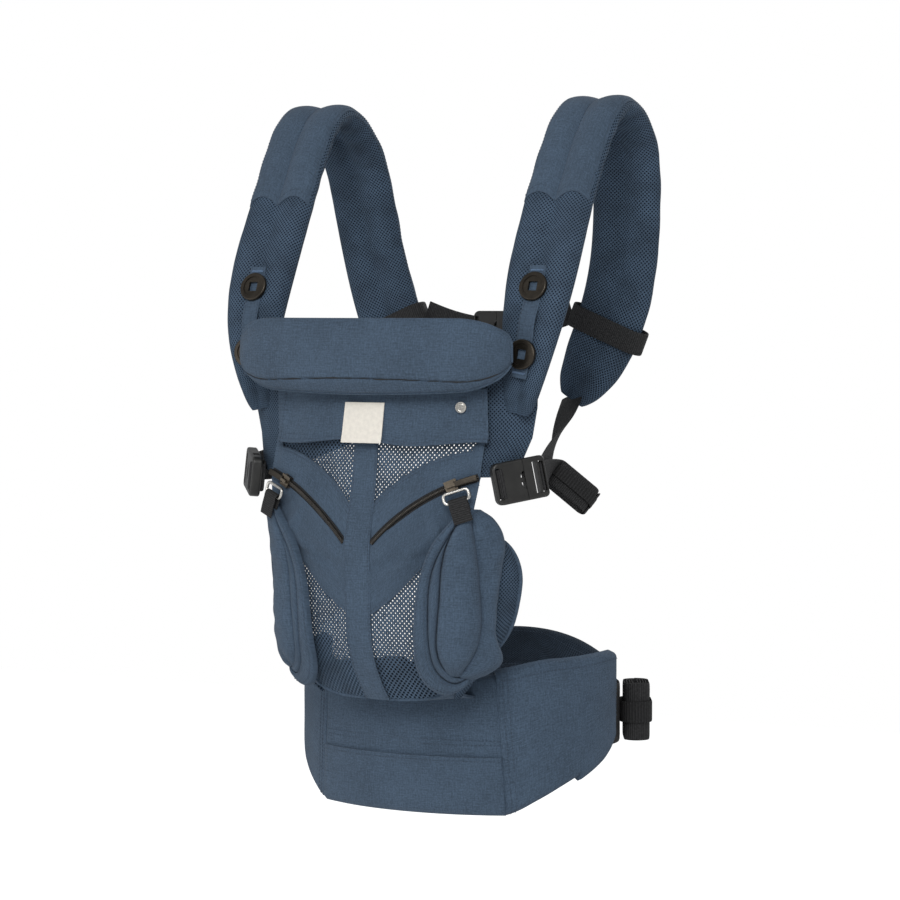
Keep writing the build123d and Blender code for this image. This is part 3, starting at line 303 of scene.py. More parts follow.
def mesh_finish(name, yarn, hole_shade, pitch, see_through=False):
    """Knitted mesh with staggered holes; the open net lets light through them."""
    finish = Finish(name)
    across, along = finish.cloth_place()
    wander = (finish.noise(across * 60.0, along * 60.0, 3.0) - 0.5) * (0.3 if see_through else 0.8)
    rows = TURN / pitch
    lattice = (across * rows + wander).wave() * (along * (rows * 0.92) + wander).wave()
    hole = lattice.smooth(0.12, 0.55)
    ply = (along * (rows * 4.0)).wave("SINE") * 0.5 + 0.5
    worn = finish.noise(across * 45.0, along * 45.0, 6.0, 3.0)
    tone = (ply * 0.35 + worn * 0.9).smooth(0.15, 1.05)
    cloth = finish.mix(linear(yarn, 0.8), linear(yarn, 1.22), tone)
    # painted shade: the holes take the dark shade colour
    base = finish.mix(cloth, linear(hole_shade), hole)
    normal = finish.bump(1.0 - hole + ply * 0.15, 0.0009, 0.9)
    inputs = {"Base_Color": base, "Roughness": 0.82 + hole * 0.1, "Normal": normal, "Specular_IOR_Level": 0.2}
    if see_through:
        uneven = finish.noise(across * (1.3 / pitch), along * (1.3 / pitch), 8.0)
        # painted shade along the rims of the net's open holes
        inputs["Base_Color"] = finish.mix(cloth, linear(hole_shade), lattice.smooth(0.05, 0.3))
        inputs["Alpha"] = 1.0 - (lattice * (uneven * 1.6 + 0.1)).smooth(0.4, 0.55)
    return finish.close(**inputs)


def webbing_finish(name, colour, rib):
    """Woven nylon webbing: ribs across, a faint herringbone along."""
    finish = Finish(name)
    across, along = finish.cloth_place()
    ribs = (along * (TURN / rib)).wave()
    zigzag = ((across * (TURN / 0.004)).wave() * 1.6 + along * (TURN / 0.0011)).wave()
    fluff = finish.noise(across * 500.0, along * 500.0)
    tone = (ribs * 0.25 + zigzag * 0.12 + fluff).smooth(0.1, 1.0)
    base = finish.mix(linear(colour, 0.72), linear(colour, 1.45), tone)
    normal = finish.bump(ribs * 0.5 + zigzag * 0.3 + fluff * 0.3, 0.0004, 0.8)
    return finish.close(Base_Color=base, Roughness=0.8 - tone * 0.1, Normal=normal, Specular_IOR_Level=0.25)


def moulded_finish(name, colour, roughness, metallic=0.0, grain=900.0, coat=0.0):
    """Moulded plastic or tumbled metal: fine grain, softly worn patches."""
    finish = Finish(name)
    x, y, z = finish.object_place()
    grit = finish.noise(x * grain, y * grain, z * grain)
    patches = finish.noise(x * 70.0, y * 70.0, z * 70.0, 3.0)
    tone = (grit * 0.4 + patches * 0.8).smooth(0.3, 0.9)
    base = finish.mix(linear(colour, 0.85), linear(colour, 1.2), tone)
    normal = finish.bump(grit, 0.00006, 0.6)
    return finish.close(
        Base_Color=base, Roughness=roughness + tone * 0.12, Metallic=metallic, Normal=normal, Coat_Weight=coat
    )


def label_finish(name, colour):
    """Damask label cloth: satin face with a hemmed border line."""
    finish = Finish(name)
    across, along = finish.cloth_place()
    rows = (along * (TURN / 0.0005)).wave() * 0.5 + 0.5
    fluff = finish.noise(across * 300.0, along * 300.0)
    tone = (rows * 0.3 + fluff * 0.8).smooth(0.2, 0.9)
    base = finish.mix(linear(colour, 0.94), linear(colour, 1.02), tone)
    normal = finish.bump(rows + fluff, 0.0002, 0.5)
    return finish.close(Base_Color=base, Roughness=0.66 + tone * 0.1, Normal=normal, Sheen_Weight=0.2)


FINISHES = {}


def make_finishes():
    paint, size = colours(), sizes()
    FINISHES.update(
        cotton=cotton_finish("navy_cotton", paint.cotton),
        mesh=mesh_finish("air_mesh", paint.mesh, paint.hole_shade, size.mesh_pitch),
        net=mesh_finish("open_net", paint.mesh, paint.hole_shade, size.net_pitch, see_through=True),
        # a darker copy of the mesh: painted shade for the lumbar cushion's inner face
        inner_mesh=mesh_finish("inner_mesh", [0.72 * c for c in paint.mesh], paint.hole_shade, size.mesh_pitch),
        webbing=webbing_finish("black_webbing", paint.webbing, 0.0017),
        elastic=webbing_finish("elastic", [0.8 * c for c in paint.webbing], 0.0026),
        thread=moulded_finish("thread", paint.thread, 0.75, grain=3000.0),
        pale_thread=moulded_finish("pale_thread", [1.75 * c for c in paint.thread], 0.7, grain=3000.0),
        dark_thread=moulded_finish("dark_thread", paint.webbing, 0.7, grain=3000.0),
        plastic=moulded_finish("buckle_plastic", paint.plastic, 0.36),
        coil=moulded_finish("zip_coil", [0.5 * c for c in paint.bronze], 0.24, 0.6, coat=0.4),
        metal=moulded_finish("ring_metal", paint.metal, 0.2, 1.0),
        gunmetal=moulded_finish("gunmetal", [0.6 * c for c in paint.bronze], 0.3, 0.85),
        bronze=moulded_finish("bronze_metal", paint.bronze, 0.28, 0.9),
        label=label_finish("label_cloth", paint.label),
    )


# ---- curves and fields ---------------------------------------------------------------
def through(knots, values, at):
    """Natural cubic spline through values at knots, read at other places."""
    knots, values = np.asarray(knots, float), np.asarray(values, float)
    flat = values.reshape(len(knots), -1)
    count, step = len(knots), np.diff(knots)
    system, right = np.eye(count), np.zeros_like(flat)
    for i in range(1, count - 1):
        system[i, i - 1 : i + 2] = step[i - 1], 2 * (step[i - 1] + step[i]), step[i]
        right[i] = 6 * ((flat[i + 1] - flat[i]) / step[i] - (flat[i] - flat[i - 1]) / step[i - 1])
    bend = np.linalg.solve(system, right)
    at = np.asarray(at, float)
    k = np.clip(np.searchsorted(knots, at) - 1, 0, count - 2)
    h = step[k][..., None]
    a, b = (knots[k + 1] - at)[..., None] / h, (at - knots[k])[..., None] / h
    out = a * flat[k] + b * flat[k + 1]
    out = out + ((a**3 - a) * bend[k] + (b**3 - b) * bend[k + 1]) * h**2 / 6
    return out.reshape(at.shape + values.shape[1:])


def chord(points):
    points = np.asarray(points, float)
    return np.concatenate([[0.0], np.cumsum(np.linalg.norm(np.diff(points, axis=0), axis=1))])


def smooth_path(points, count):
    """Evenly spaced points on a smooth curve through the given ones."""
    points = np.asarray(points, float)
    fine = through(chord(points), points, np.linspace(0, chord(points)[-1], 12 * count))
    return along_path(fine, np.linspace(0, chord(fine)[-1], count))


def along_path(points, lengths):
    run = chord(points)
    return np.stack([np.interp(lengths, run, points[:, k]) for k in range(3)], -1)


def unit(vectors):
    vectors = np.asarray(vectors, float)
    return vectors / np.maximum(np.linalg.norm(vectors, axis=-1, keepdims=True), 1e-9)


def rounded(distance, radius):
    """0 at an edge, 1 from radius inwards, round between like a quarter circle."""
    part = np.clip(1 - np.asarray(distance, float) / radius, 0, 1)
    return np.sqrt(1 - part**2)


def step(value, low, high):
    part = np.clip((np.asarray(value, float) - low) / (high - low), 0, 1)
    return part * part * (3 - 2 * part)


def rumple(points, size, seed):
    """A smooth uneven field between about -1 and 1, the same on every run."""
    draw = np.random.default_rng(seed)
    total = np.zeros(points.shape[:-1])
    for _ in range(7):
        direction = unit(draw.normal(size=3)) * TURN / (size * draw.uniform(0.7, 1.5))
        total += np.sin(points @ direction + draw.uniform(0, TURN))
    return total / 3.5


def ridge(x, z, start, end, width, height):
    """A soft fold along a straight line, fading at its two ends."""
    a, b = np.array(start, float), np.array(end, float)
    run = b - a
    part = ((x - a[0]) * run[0] + (z - a[1]) * run[1]) / (run @ run)
    near = np.clip(part, 0, 1)
    away = np.hypot(x - a[0] - near * run[0], z - a[1] - near * run[1])
    fade = np.sin(np.pi * np.clip(part, 0.02, 0.98)) ** 0.5
    return height * fade * np.exp(-((away / width) ** 2))


def mirrored(points, side):
    return np.asarray(points, float) * (side, 1, 1)


# ---- mesh makers ---------------------------------------------------------------------
def spread(rows, columns, up=(0, 1), across=(0, 1)):
    """Two grids of numbers: the first grows from row to row, the second along a row."""
    return np.meshgrid(np.linspace(*up, rows), np.linspace(*across, columns), indexing="ij")


def grid_quads(rows, columns, first=0):
    i, j = np.meshgrid(np.arange(rows - 1), np.arange(columns - 1), indexing="ij")
    a = first + i * columns + j
    return np.stack([a, a + columns, a + columns + 1, a + 1], -1).reshape(-1, 4)


def grid_border(rows, columns):
    top = [j for j in range(columns)]
    right = [i * columns + columns - 1 for i in range(1, rows)]
    bottom = [(rows - 1) * columns + j for j in range(columns - 2, -1, -1)]
    left = [i * columns for i in range(rows - 2, 0, -1)]
    return np.array(top + right + bottom + left)


def grid_normals(grid, facing):
    normal = unit(np.cross(np.gradient(grid, axis=0), np.gradient(grid, axis=1)))
    return normal if (normal * np.asarray(facing, float)).sum() > 0 else -normal


def grid_map(grid):
    """Metres across and along a grid, measured on the cloth itself."""
    across = np.linalg.norm(np.diff(grid, axis=1), axis=2).mean(0)
    along = np.linalg.norm(np.diff(grid, axis=0), axis=2).mean(1)
    u, v = np.concatenate([[0], np.cumsum(across)]), np.concatenate([[0], np.cumsum(along)])
    return np.stack(np.meshgrid(u * MM, v * MM), -1)


def cloth_piece(name, points, faces, places, finishes, chosen=None, crease=48.0):
    """A mesh object from millimetre points, with its cloth map and sharp edges marked."""
    mesh = bpy.data.meshes.new(name)
    metres = np.asarray(points).reshape(-1, 3) * MM
    mesh.from_pydata(metres.tolist(), [], [[int(corner) for corner in face] for face in faces])
    layer = mesh.uv_layers.new(name="cloth")
    corners = np.zeros(len(mesh.loops), np.int32)
    mesh.loops.foreach_get("vertex_index", corners)
    layer.data.foreach_set("uv", np.asarray(places, np.float32).reshape(-1, 2)[corners].ravel())
    for finish in finishes:
        mesh.materials.append(FINISHES[finish])
    if chosen is not None:
        mesh.polygons.foreach_set("material_index", np.asarray(chosen, np.int32))
    mesh.polygons.foreach_set("use_smooth", np.ones(len(mesh.polygons), bool))
    shaped = bmesh.new()
    shaped.from_mesh(mesh)
    bmesh.ops.recalc_face_normals(shaped, faces=shaped.faces)
    for edge in shaped.edges:
        edge.smooth = len(edge.link_faces) == 2 and edge.calc_face_angle(0) < math.radians(crease)
    shaped.to_mesh(mesh)
    shaped.free()
    piece = bpy.data.objects.new(name, mesh)
    bpy.context.scene.collection.objects.link(piece)
    return piece


def closed_grids(name, front, back, finishes, back_finish=0, crease=48.0, places=None):
    """Front and back grids joined round their border."""
    rows, columns = front.shape[:2]
    size = rows * columns
    border = grid_border(rows, columns)
    after = np.roll(border, -1)
    rim = np.stack([border, after, after + size, border + size], -1)
    skin = grid_quads(rows, columns)
    faces = np.concatenate([skin, skin[:, ::-1] + size, rim])
    chosen = np.zeros(len(faces), int)
    chosen[len(skin) : 2 * len(skin)] = back_finish
    points = np.concatenate([front.reshape(-1, 3), back.reshape(-1, 3)])
    places = grid_map(front) if places is None else places
    places = np.concatenate([places.reshape(-1, 2)] * 2)
    return cloth_piece(name, points, faces, places, finishes, chosen, crease)


def panel(name, front, facing, finishes, thickness=1.4, lift=0.0, places=None):
    """A single layer of cloth: its outer face is the grid lifted off the surface."""
    normal = grid_normals(front, facing)
    outer, inner = front + normal * lift, front + normal * (lift - thickness)
    return closed_grids(name, outer, inner, finishes, places=places)


def tube(name, rings, finishes, places=None, chosen=None, capped=True):
    """Rings of points joined into a closed sleeve, with flat ends."""
    rows, columns = rings.shape[:2]
    faces = []
    for i in range(rows - 1):
        for j in range(columns):
            k = (j + 1) % columns
            faces.append((i * columns + j, (i + 1) * columns + j, (i + 1) * columns + k, i * columns + k))
    chosen = [0] * len(faces) if chosen is None else list(chosen)
    if capped:
        faces += [tuple(range(columns)), tuple((rows - 1) * columns + j for j in range(columns))]
        chosen += [chosen[0], chosen[-1]]
    if places is None:
        places = tube_map(rings)
    return cloth_piece(name, rings, faces, places, finishes, chosen)


def tube_map(rings):
    around = np.linalg.norm(np.diff(rings, axis=1), axis=2).mean(0)
    u = np.concatenate([[0], np.cumsum(around)])
    v = chord(rings.mean(1))
    return np.stack(np.meshgrid(u * MM, v * MM), -1)


def ribbon_grids(path, across, width, thickness):
    """Front and back faces of a webbing band with thin woven edges."""
    path, across = np.asarray(path, float), unit(np.broadcast_to(across, np.shape(path)))
    tangent = unit(np.gradient(path, axis=0))
    across = unit(across - tangent * (across * tangent).sum(-1, keepdims=True))
    normal = np.cross(tangent, across)
    places = np.array([-0.5, -0.47, -0.4, -0.2, 0.0, 0.2, 0.4, 0.47, 0.5]) * width
    half = np.array([0.35, 0.8, 1.0, 0.94, 1.0, 0.94, 1.0, 0.8, 0.35]) * thickness / 2
    middle = path[:, None] + across[:, None] * places[None, :, None]
    rise = normal[:, None] * half[None, :, None]
    return middle + rise, middle - rise


def ribbon(name, path, across, width, finish, thickness=WEB_THICKNESS, looped=False):
    front, back = ribbon_grids(path, across, width, thickness)
    if not looped:
        return closed_grids(name, front, back, [finish], crease=70)
    rings = np.concatenate([front, back[:, ::-1]], axis=1)
    rings = np.concatenate([rings, rings[:1]])
    piece = tube(name, rings, [finish], capped=False)
    shaped = bmesh.new()
    shaped.from_mesh(piece.data)
    bmesh.ops.remove_doubles(shaped, verts=shaped.verts, dist=1e-6)
    bmesh.ops.recalc_face_normals(shaped, faces=shaped.faces)
    shaped.to_mesh(piece.data)
    shaped.free()
    return piece


def cord_tube(name, path, radius, finish, sides=10):
    """A thin round bead, such as a piped edge, along a path."""
    tangent = unit(np.gradient(path, axis=0))
    side = unit(np.cross(tangent, (0.3, 0.1, 1.0)))
    other = np.cross(tangent, side)
    turn = np.linspace(0, TURN, sides, endpoint=False)
    shrink = rounded(np.minimum(np.arange(len(path)), np.arange(len(path))[::-1]) + 0.15, 2.0) * radius
    rings = path[:, None] + shrink[:, None, None] * (
        side[:, None] * np.cos(turn)[None, :, None] + other[:, None] * np.sin(turn)[None, :, None]
    )
    return tube(name, rings, [finish])


PUFF_MOMENTS = 20


def puff(piece, pinned, pressure, cap, stiffness=18.0):
    """Swell a closed pad with cloth pressure, its seams held, and keep the result.

    No point moves further than cap millimetres.
    """
    scene, mesh = bpy.context.scene, piece.data
    rest = np.array([v.co for v in mesh.vertices])
    group = piece.vertex_groups.new(name="seams")
    group.add([int(i) for i in np.nonzero(pinned)[0]], 1.0, "REPLACE")
    cloth = piece.modifiers.new("Puff", "CLOTH")
    settings = cloth.settings
    settings.quality, settings.mass, settings.air_damping = 4, 0.2, 4.0
    settings.tension_stiffness = settings.compression_stiffness = stiffness
    settings.shear_stiffness, settings.bending_stiffness = 6.0, 0.6
    settings.use_pressure, settings.uniform_pressure_force = True, pressure
    settings.effector_weights.gravity = 0.0
    settings.vertex_group_mass = "seams"
    cloth.point_cache.frame_start, cloth.point_cache.frame_end = 1, PUFF_MOMENTS
    for moment in range(1, PUFF_MOMENTS + 1):
        scene.frame_set(moment)
    seen = piece.evaluated_get(bpy.context.evaluated_depsgraph_get()).data
    moved = np.array([v.co for v in seen.vertices]) - rest
    far = np.linalg.norm(moved, axis=1, keepdims=True)
    moved *= np.minimum(1.0, cap * MM / np.maximum(far, 1e-9))
    piece.modifiers.remove(cloth)
    piece.vertex_groups.remove(group)
    mesh.vertices.foreach_set("co", (rest + moved).astype(np.float32).ravel())
    mesh.update()
    scene.frame_set(1)


SEAM_ROWS = 2


def border_mask(rows, columns):
    """Which points of a closed pad lie on or beside its seam."""
    i, j = np.meshgrid(np.arange(rows), np.arange(columns), indexing="ij")
    near = np.minimum(np.minimum(i, rows - 1 - i), np.minimum(j, columns - 1 - j)) < SEAM_ROWS
    return np.concatenate([near.ravel(), near.ravel()])


def dress(piece, body, nodes=()):
    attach(piece, body)
    if nodes:
        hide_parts(*nodes)
    return piece


def cloth_sheet(piece, grid, held="stretched", rests_on=(), flat=None):
    """Declare a cloth layer with the flat size that its grid measures."""
    width = np.linalg.norm(np.diff(grid, axis=1), axis=2).sum(1).max() * MM
    length = np.linalg.norm(np.diff(grid, axis=0), axis=2).sum(0).max() * MM
    area = sum(face.area for face in piece.data.polygons) / 2
    width, length = round(width, 4), round(length, 4)
    width, length = flat or (width, length)
    area = min(max(area, 0.31 * width * length), width * length)


def cloth_panel(name, grid, facing, finish, thickness, slot, node, lift=0.0, places=None, **sheet):
    """A single layer of cloth on the carrier, in place of one node of the solids."""
    piece = panel(name, grid, facing, [finish], thickness, lift, places)
    dress(piece, "carrier", (node,))
    cloth_sheet(piece, grid, **sheet)


def side_band(name, path, across, side, width, body, slot, *nodes, finish="webbing", **more):
    """A band on one side of the carrier, from the right side's path."""
    piece = ribbon(name, mirrored(path, side), mirrored(across, side), width, finish, **more)
    dress(piece, body, nodes)


# ---- repeated details: geometry nodes ------------------------------------------------
def bead_tree():
    """Beads set along a path: stitches on a seam, or the turns of a zip coil."""
    tree = bpy.data.node_groups.new("BeadsAlongPath", "GeometryNodeTree")
    face = tree.interface
    face.new_socket("Path", in_out="INPUT", socket_type="NodeSocketGeometry")
    face.new_socket("Pitch", in_out="INPUT", socket_type="NodeSocketFloat")
    face.new_socket("Size", in_out="INPUT", socket_type="NodeSocketVector")
    face.new_socket("Finish", in_out="INPUT", socket_type="NodeSocketMaterial")
    face.new_socket("Beads", in_out="OUTPUT", socket_type="NodeSocketGeometry")

    def add(kind, **settings):
        node = tree.nodes.new(kind)
        for key, value in settings.items():
            setattr(node, key, value)
        return node

    def link(source, output, target, socket):
        tree.links.new(source.outputs[output], target.inputs[socket])

    given, result = add("NodeGroupInput"), add("NodeGroupOutput")
    curve = add("GeometryNodeMeshToCurve")
    points = add("GeometryNodeCurveToPoints", mode="LENGTH")
    out = add("GeometryNodeInputNamedAttribute", data_type="FLOAT_VECTOR")
    out.inputs["Name"].default_value = "out"
    stand = add("FunctionNodeAlignRotationToVector", axis="Z")
    turn = add("FunctionNodeAlignRotationToVector", axis="X", pivot_axis="Z")
    bead = add("GeometryNodeMeshUVSphere")
    bead.inputs["Segments"].default_value, bead.inputs["Rings"].default_value = 8, 5
    bead.inputs["Radius"].default_value = 0.5
    place = add("GeometryNodeInstanceOnPoints")
    real = add("GeometryNodeRealizeInstances")
    smooth = add("GeometryNodeSetShadeSmooth")
    paint = add("GeometryNodeSetMaterial")
    link(given, "Path", curve, "Mesh")
    link(curve, "Curve", points, "Curve")
    link(given, "Pitch", points, "Length")
    link(out, "Attribute", stand, "Vector")
    link(stand, "Rotation", turn, "Rotation")
    link(points, "Tangent", turn, "Vector")
    link(points, "Points", place, "Points")
    link(bead, "Mesh", place, "Instance")
    link(turn, "Rotation", place, "Rotation")
    link(given, "Size", place, "Scale")
    link(place, "Instances", real, "Geometry")
    link(real, "Geometry", smooth, "Geometry")
    link(smooth, "Geometry", paint, "Geometry")
    link(given, "Finish", paint, "Material")
    link(paint, "Geometry", result, "Beads")
    return tree


def beads(name, lines, finish, pitch, size):
    """Turn paths, each with its outward directions, into one mesh of beads."""
    tree = bpy.data.node_groups.get("BeadsAlongPath") or bead_tree()
    mesh = bpy.data.meshes.new(name + "_path")
    points = np.concatenate([path for path, _ in lines]) * MM
    outs = np.concatenate([np.broadcast_to(out, np.shape(path)) for path, out in lines])
    edges, first = [], 0
    for path, _ in lines:
        edges += [(first + i, first + i + 1) for i in range(len(path) - 1)]
        first += len(path)
    mesh.from_pydata(points.tolist(), edges, [])
    held = mesh.attributes.new("out", "FLOAT_VECTOR", "POINT")
    held.data.foreach_set("vector", unit(outs).astype(np.float32).ravel())
    carrier = bpy.data.objects.new(name + "_path", mesh)
    bpy.context.scene.collection.objects.link(carrier)
    modifier = carrier.modifiers.new("Beads", "NODES")
    modifier.node_group = tree
    wanted = {"Pitch": pitch, "Size": size, "Finish": FINISHES[finish]}
    for item in tree.interface.items_tree:
        if item.in_out == "INPUT" and item.name in wanted:
            modifier[item.identifier] = wanted[item.name]
    seen = carrier.evaluated_get(bpy.context.evaluated_depsgraph_get())
    made = bpy.data.meshes.new_from_object(seen)
    made.name = name
    piece = bpy.data.objects.new(name, made)
    bpy.context.scene.collection.objects.link(piece)
    bpy.data.objects.remove(carrier)
    bpy.data.meshes.remove(mesh)
    return piece


def stitches(name, lines, body="carrier", finish="thread", thick=0.55):
    size = sizes()
    piece = beads(name, lines, finish, size.stitch_pitch, (size.stitch_length, thick * MM, thick * MM))
    return dress(piece, body)


def grid_line(grid, facing, row=None, column=None, lift=0.12):
    """A seam line read off a grid, just proud of it, with its outward directions."""
    normal = grid_normals(grid, facing)
    pick = (row, slice(None)) if row is not None else (slice(None), column)
    return grid[pick] + normal[pick] * lift, normal[pick]


# ---- waistband, belt and lumbar pad --------------------------------------------------
def oval_points(turn, offset, z):
    """Points round the waist; turn 0 is the front and grows towards the right side."""
    turn, offset, z = np.broadcast_arrays(turn, offset, z)
    width, depth = WAIST_HALF_WIDTH + offset, WAIST_HALF_DEPTH + offset
    return np.stack([width * np.sin(turn), -depth * np.cos(turn), z], -1)


def seam_turn(z):
    half = FRONT_HALF_BOTTOM - (FRONT_HALF_BOTTOM - FRONT_HALF_TOP) * z / (2 * BAND_FRONT_HEIGHT)
    return np.arcsin(half / WAIST_HALF_WIDTH)


def band_offsets(edge, seam, crown):
    """Outer and inner offsets of a padded band from its distances to edge and seam."""
    middle = -BAND_THICKNESS / 2
    swell = -middle * rounded(edge, 7.0) * (0.9 + 0.1 * rounded(seam, 3.0))
    full = crown * rounded(edge, 34.0)
    return middle + swell + full, middle - swell - 0.3 * full


def waistband_front():
    v, u = spread(56, 90, across=(-1, 1))
    z = v * BAND_FRONT_HEIGHT
    turn = u * seam_turn(z)
    edge = np.minimum(z, BAND_FRONT_HEIGHT - z)
    seam = (1 - np.abs(u)) * FRONT_HALF_BOTTOM
    outer, inner = band_offsets(edge, seam, 1.6)
    lines = oval_points(turn, 0.0, z)
    outer = outer + 0.5 * rumple(lines, 70.0, 3) * rounded(edge, 20.0)
    front, back = oval_points(turn, outer, z), oval_points(turn, inner, z)
    piece = closed_grids("waistband_front_pad", front, back, ["cotton", "mesh"], 1)
    puff(piece, border_mask(*front.shape[:2]), 3.0, 2.0)
    dress(piece, "carrier", ("waistband_front", "waist_foam_core"))

    v, u = spread(30, 90, across=(-0.985, 0.985))
    z = 1.5 + v * (POCKET_TOP - 1.5)
    turn = u * seam_turn(z)
    outer, _ = band_offsets(np.minimum(z, 60), (1 - np.abs(u)) * FRONT_HALF_BOTTOM, 1.6)
    open_lip = 1.3 * step(v, 0.82, 1.0) * (1 - 0.5 * u**2)
    pocket = oval_points(turn, outer + 0.2 + (1.1 + open_lip) * rounded((1 - np.abs(u)) * 80, 6.0), z)
    cloth_panel("waist_pocket", pocket, OUTWARD, "cotton", 1.2, "navy_cotton", "waist_pocket_panel",
                rests_on=["waistband_front_pad"])
    lines = [grid_line(pocket, OUTWARD, row=-3)]
    for high in (60.0, 64.0):
        u = np.linspace(-0.97, 0.97, 80)
        turn = u * seam_turn(high)
        lines.append((oval_points(turn, 1.75, high), oval_points(turn, 1.0, 0.0) * (1, 1, 0)))
    stitches("waistband_front_stitches", lines)


def wing_heights(y):
    """Lower and upper edge of the waistband's wing at a depth."""
    to_end = WING_END_Y - y
    start = WING_LOWER_START_Y + 8.0
    low = np.clip((y - start) / (WING_END_Y - start), 0, 1)
    low = WING_END_BOTTOM * (low + 0.09 * np.sin(np.pi * low) * (low < 0.5)) * step(low, -0.25, 0.18)
    low = low + WING_CORNER_RADIUS * (1 - rounded(to_end, WING_CORNER_RADIUS)) * 0.9
    high = BAND_FRONT_HEIGHT + 13.0 * step(y, -101, -54) + 4.0 * step(y, -60, WING_END_Y)
    return low, high - 9.0 * (1 - rounded(to_end, 9.0))


def wing_grids():
    v, u = spread(50, 90)
    end = math.pi / 2 + math.asin(WING_END_Y / WAIST_HALF_DEPTH)
    turn = seam_turn(60.0) * (1 - u) + u * end
    low, high = wing_heights(-(WAIST_HALF_DEPTH - 6) * np.cos(turn))
    z = low + v * (high - low)
    turn = seam_turn(z) * (1 - u) + u * end
    edge = np.minimum(z - low, high - z)
    edge = np.minimum(edge, (end - turn) * WAIST_HALF_DEPTH)
    outer, inner = band_offsets(edge, u * 130.0, 1.8)
    places = oval_points(turn, 0.0, z)
    outer = outer + 0.6 * rumple(places, 60.0, 5) * rounded(edge, 20.0)
    return oval_points(turn, outer, z), oval_points(turn, inner, z)


def waistband_wings():
    for side, name in SIDES:
        front, back = (mirrored(grid, side) for grid in wing_grids())
        piece = closed_grids("waistband_wing_pad_" + name, front, back, ["cotton", "mesh"], 1)
        puff(piece, border_mask(*front.shape[:2]), 3.0, 2.0)
        dress(piece, "carrier", ("waistband_wing_" + name,))
        away = (side, -0.4, 0)
        lines = [grid_line(front, away, column=k, lift=0.3) for k in (3, 6)]
        lines += [grid_line(front[:, 4:-3], away, row=-5, lift=0.3)]
        lines += [grid_line(front[14:34], away, column=-5, lift=0.3)]
        stitches("waistband_wing_stitches_" + name, lines)


# lengths of a buckle, as the solids have them: a fixed part and a share of the webbing's width
BUCKLE_WALL, BUCKLE_FEMALE, BUCKLE_MALE, SLOT_ROOM = (1.6, 0.012), (12.0, 0.58), (10.0, 0.36), 2.2


def buckle_ends(web):
    wall, female, male = (fixed + web * share for fixed, share in (BUCKLE_WALL, BUCKLE_FEMALE, BUCKLE_MALE))
    return {"female": -female, "male": RUNNING_GAP + male, "slot": WEB_THICKNESS + SLOT_ROOM, "wall": wall}


def back_turn(degrees):
    """Turn counted from the right side towards the back, as turn from the front."""
    return math.pi / 2 + np.radians(degrees)


def belt_end_degrees():
    ends = buckle_ends(WAIST_WEB)
    length = ends["male"] - ends["female"]
    middle = -BAND_THICKNESS / 2
    start = oval_points(back_turn(180.0 - BUCKLE_START), middle, 0.0)
    degrees = 180.0 - BUCKLE_START
    while np.linalg.norm(oval_points(back_turn(degrees), middle, 0.0) - start) < length:
        degrees -= 0.05
    return degrees


def rolled_path(length, thickness, layers, pitch):
    """A flat roll of webbing seen from its edge, from the outside inwards."""
    angle = np.linspace(0, TURN * layers, int(48 * layers))
    radius = thickness / 2 - 0.8 - pitch * angle / TURN
    flat = (length - thickness) / 2
    x = np.where(np.cos(angle) > 0, flat, -flat) + radius * np.cos(angle)
    return np.stack([x, radius * np.sin(angle)], -1)


def slack_bridge(piece):
    """Webbing whose far end goes with the buckle and takes up slack over a length."""
    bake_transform(piece)


def belt():
    middle, wing_end = -BAND_THICKNESS / 2, math.degrees(WING_END_Y / WAIST_HALF_DEPTH)
    degrees = np.linspace(wing_end - 3.0, belt_end_degrees() + 3.5, 150)
    sway = 0.35 * np.sin(np.radians(degrees) * 9) * rounded(degrees - wing_end, 20)
    path = oval_points(back_turn(degrees), middle + sway, BELT_CENTRE_Z)
    piece = ribbon("waist_belt", path, (0, 0, 1), WAIST_WEB, "webbing")
    slack_bridge(piece)
    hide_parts("waist_belt_webbing")
    degrees = np.linspace(180.0 - BUCKLE_START - 3.0, 180.0 - wing_end + 3.0, 14)
    path = oval_points(back_turn(degrees), middle, BELT_CENTRE_Z)
    piece = ribbon("waist_buckle_web", path, (0, 0, 1), WAIST_WEB, "webbing")
    dress(piece, "carrier", ("waist_buckle_tab",))

    offset = middle + WEB_THICKNESS / 2 + RUNNING_GAP
    start, later = (oval_points(back_turn(ROLL_START + d), offset, BELT_CENTRE_Z) for d in (0, 18))
    along = unit(later - start)
    out = np.cross(along, (0, 0, 1))
    centre = start + along * (ROLL_LENGTH / 2) + out * (ROLL_THICKNESS / 2 + 2.5)
    flat = rolled_path(ROLL_LENGTH, ROLL_THICKNESS, 4.3, 2.35)
    path = centre + flat[:, :1] * along + flat[:, 1:] * out
    piece = ribbon("waist_belt_roll", path, (0, 0, 1), WAIST_WEB - 1.0, "webbing", 1.7)
    dress(piece, "carrier", ("waist_webbing_roll",))
    flat = rolled_path(ROLL_LENGTH + 2.6, ROLL_THICKNESS + 3.6, 1.0, 0.0)[:-1]
    path = centre + flat[:, :1] * along + flat[:, 1:] * out
    piece = ribbon("waist_roll_elastic", path, (0, 0, 1), KEEPER_WIDTH, "elastic", 1.1, looped=True)
    dress(piece, "carrier")


def lumbar_shape():
    centre_y = WAIST_HALF_DEPTH - WAIST_HALF_WIDTH**2 / WAIST_HALF_DEPTH
    radius = WAIST_HALF_DEPTH - centre_y
    outer = radius - (BAND_THICKNESS + WEB_THICKNESS) / 2 - LUMBAR_STAND_OFF
    return centre_y, radius, outer


def lumbar_points(x, z, inset):
    centre_y, _, outer = lumbar_shape()
    reach = outer - inset
    return np.stack([x, centre_y + np.sqrt(reach**2 - x**2), z], -1)


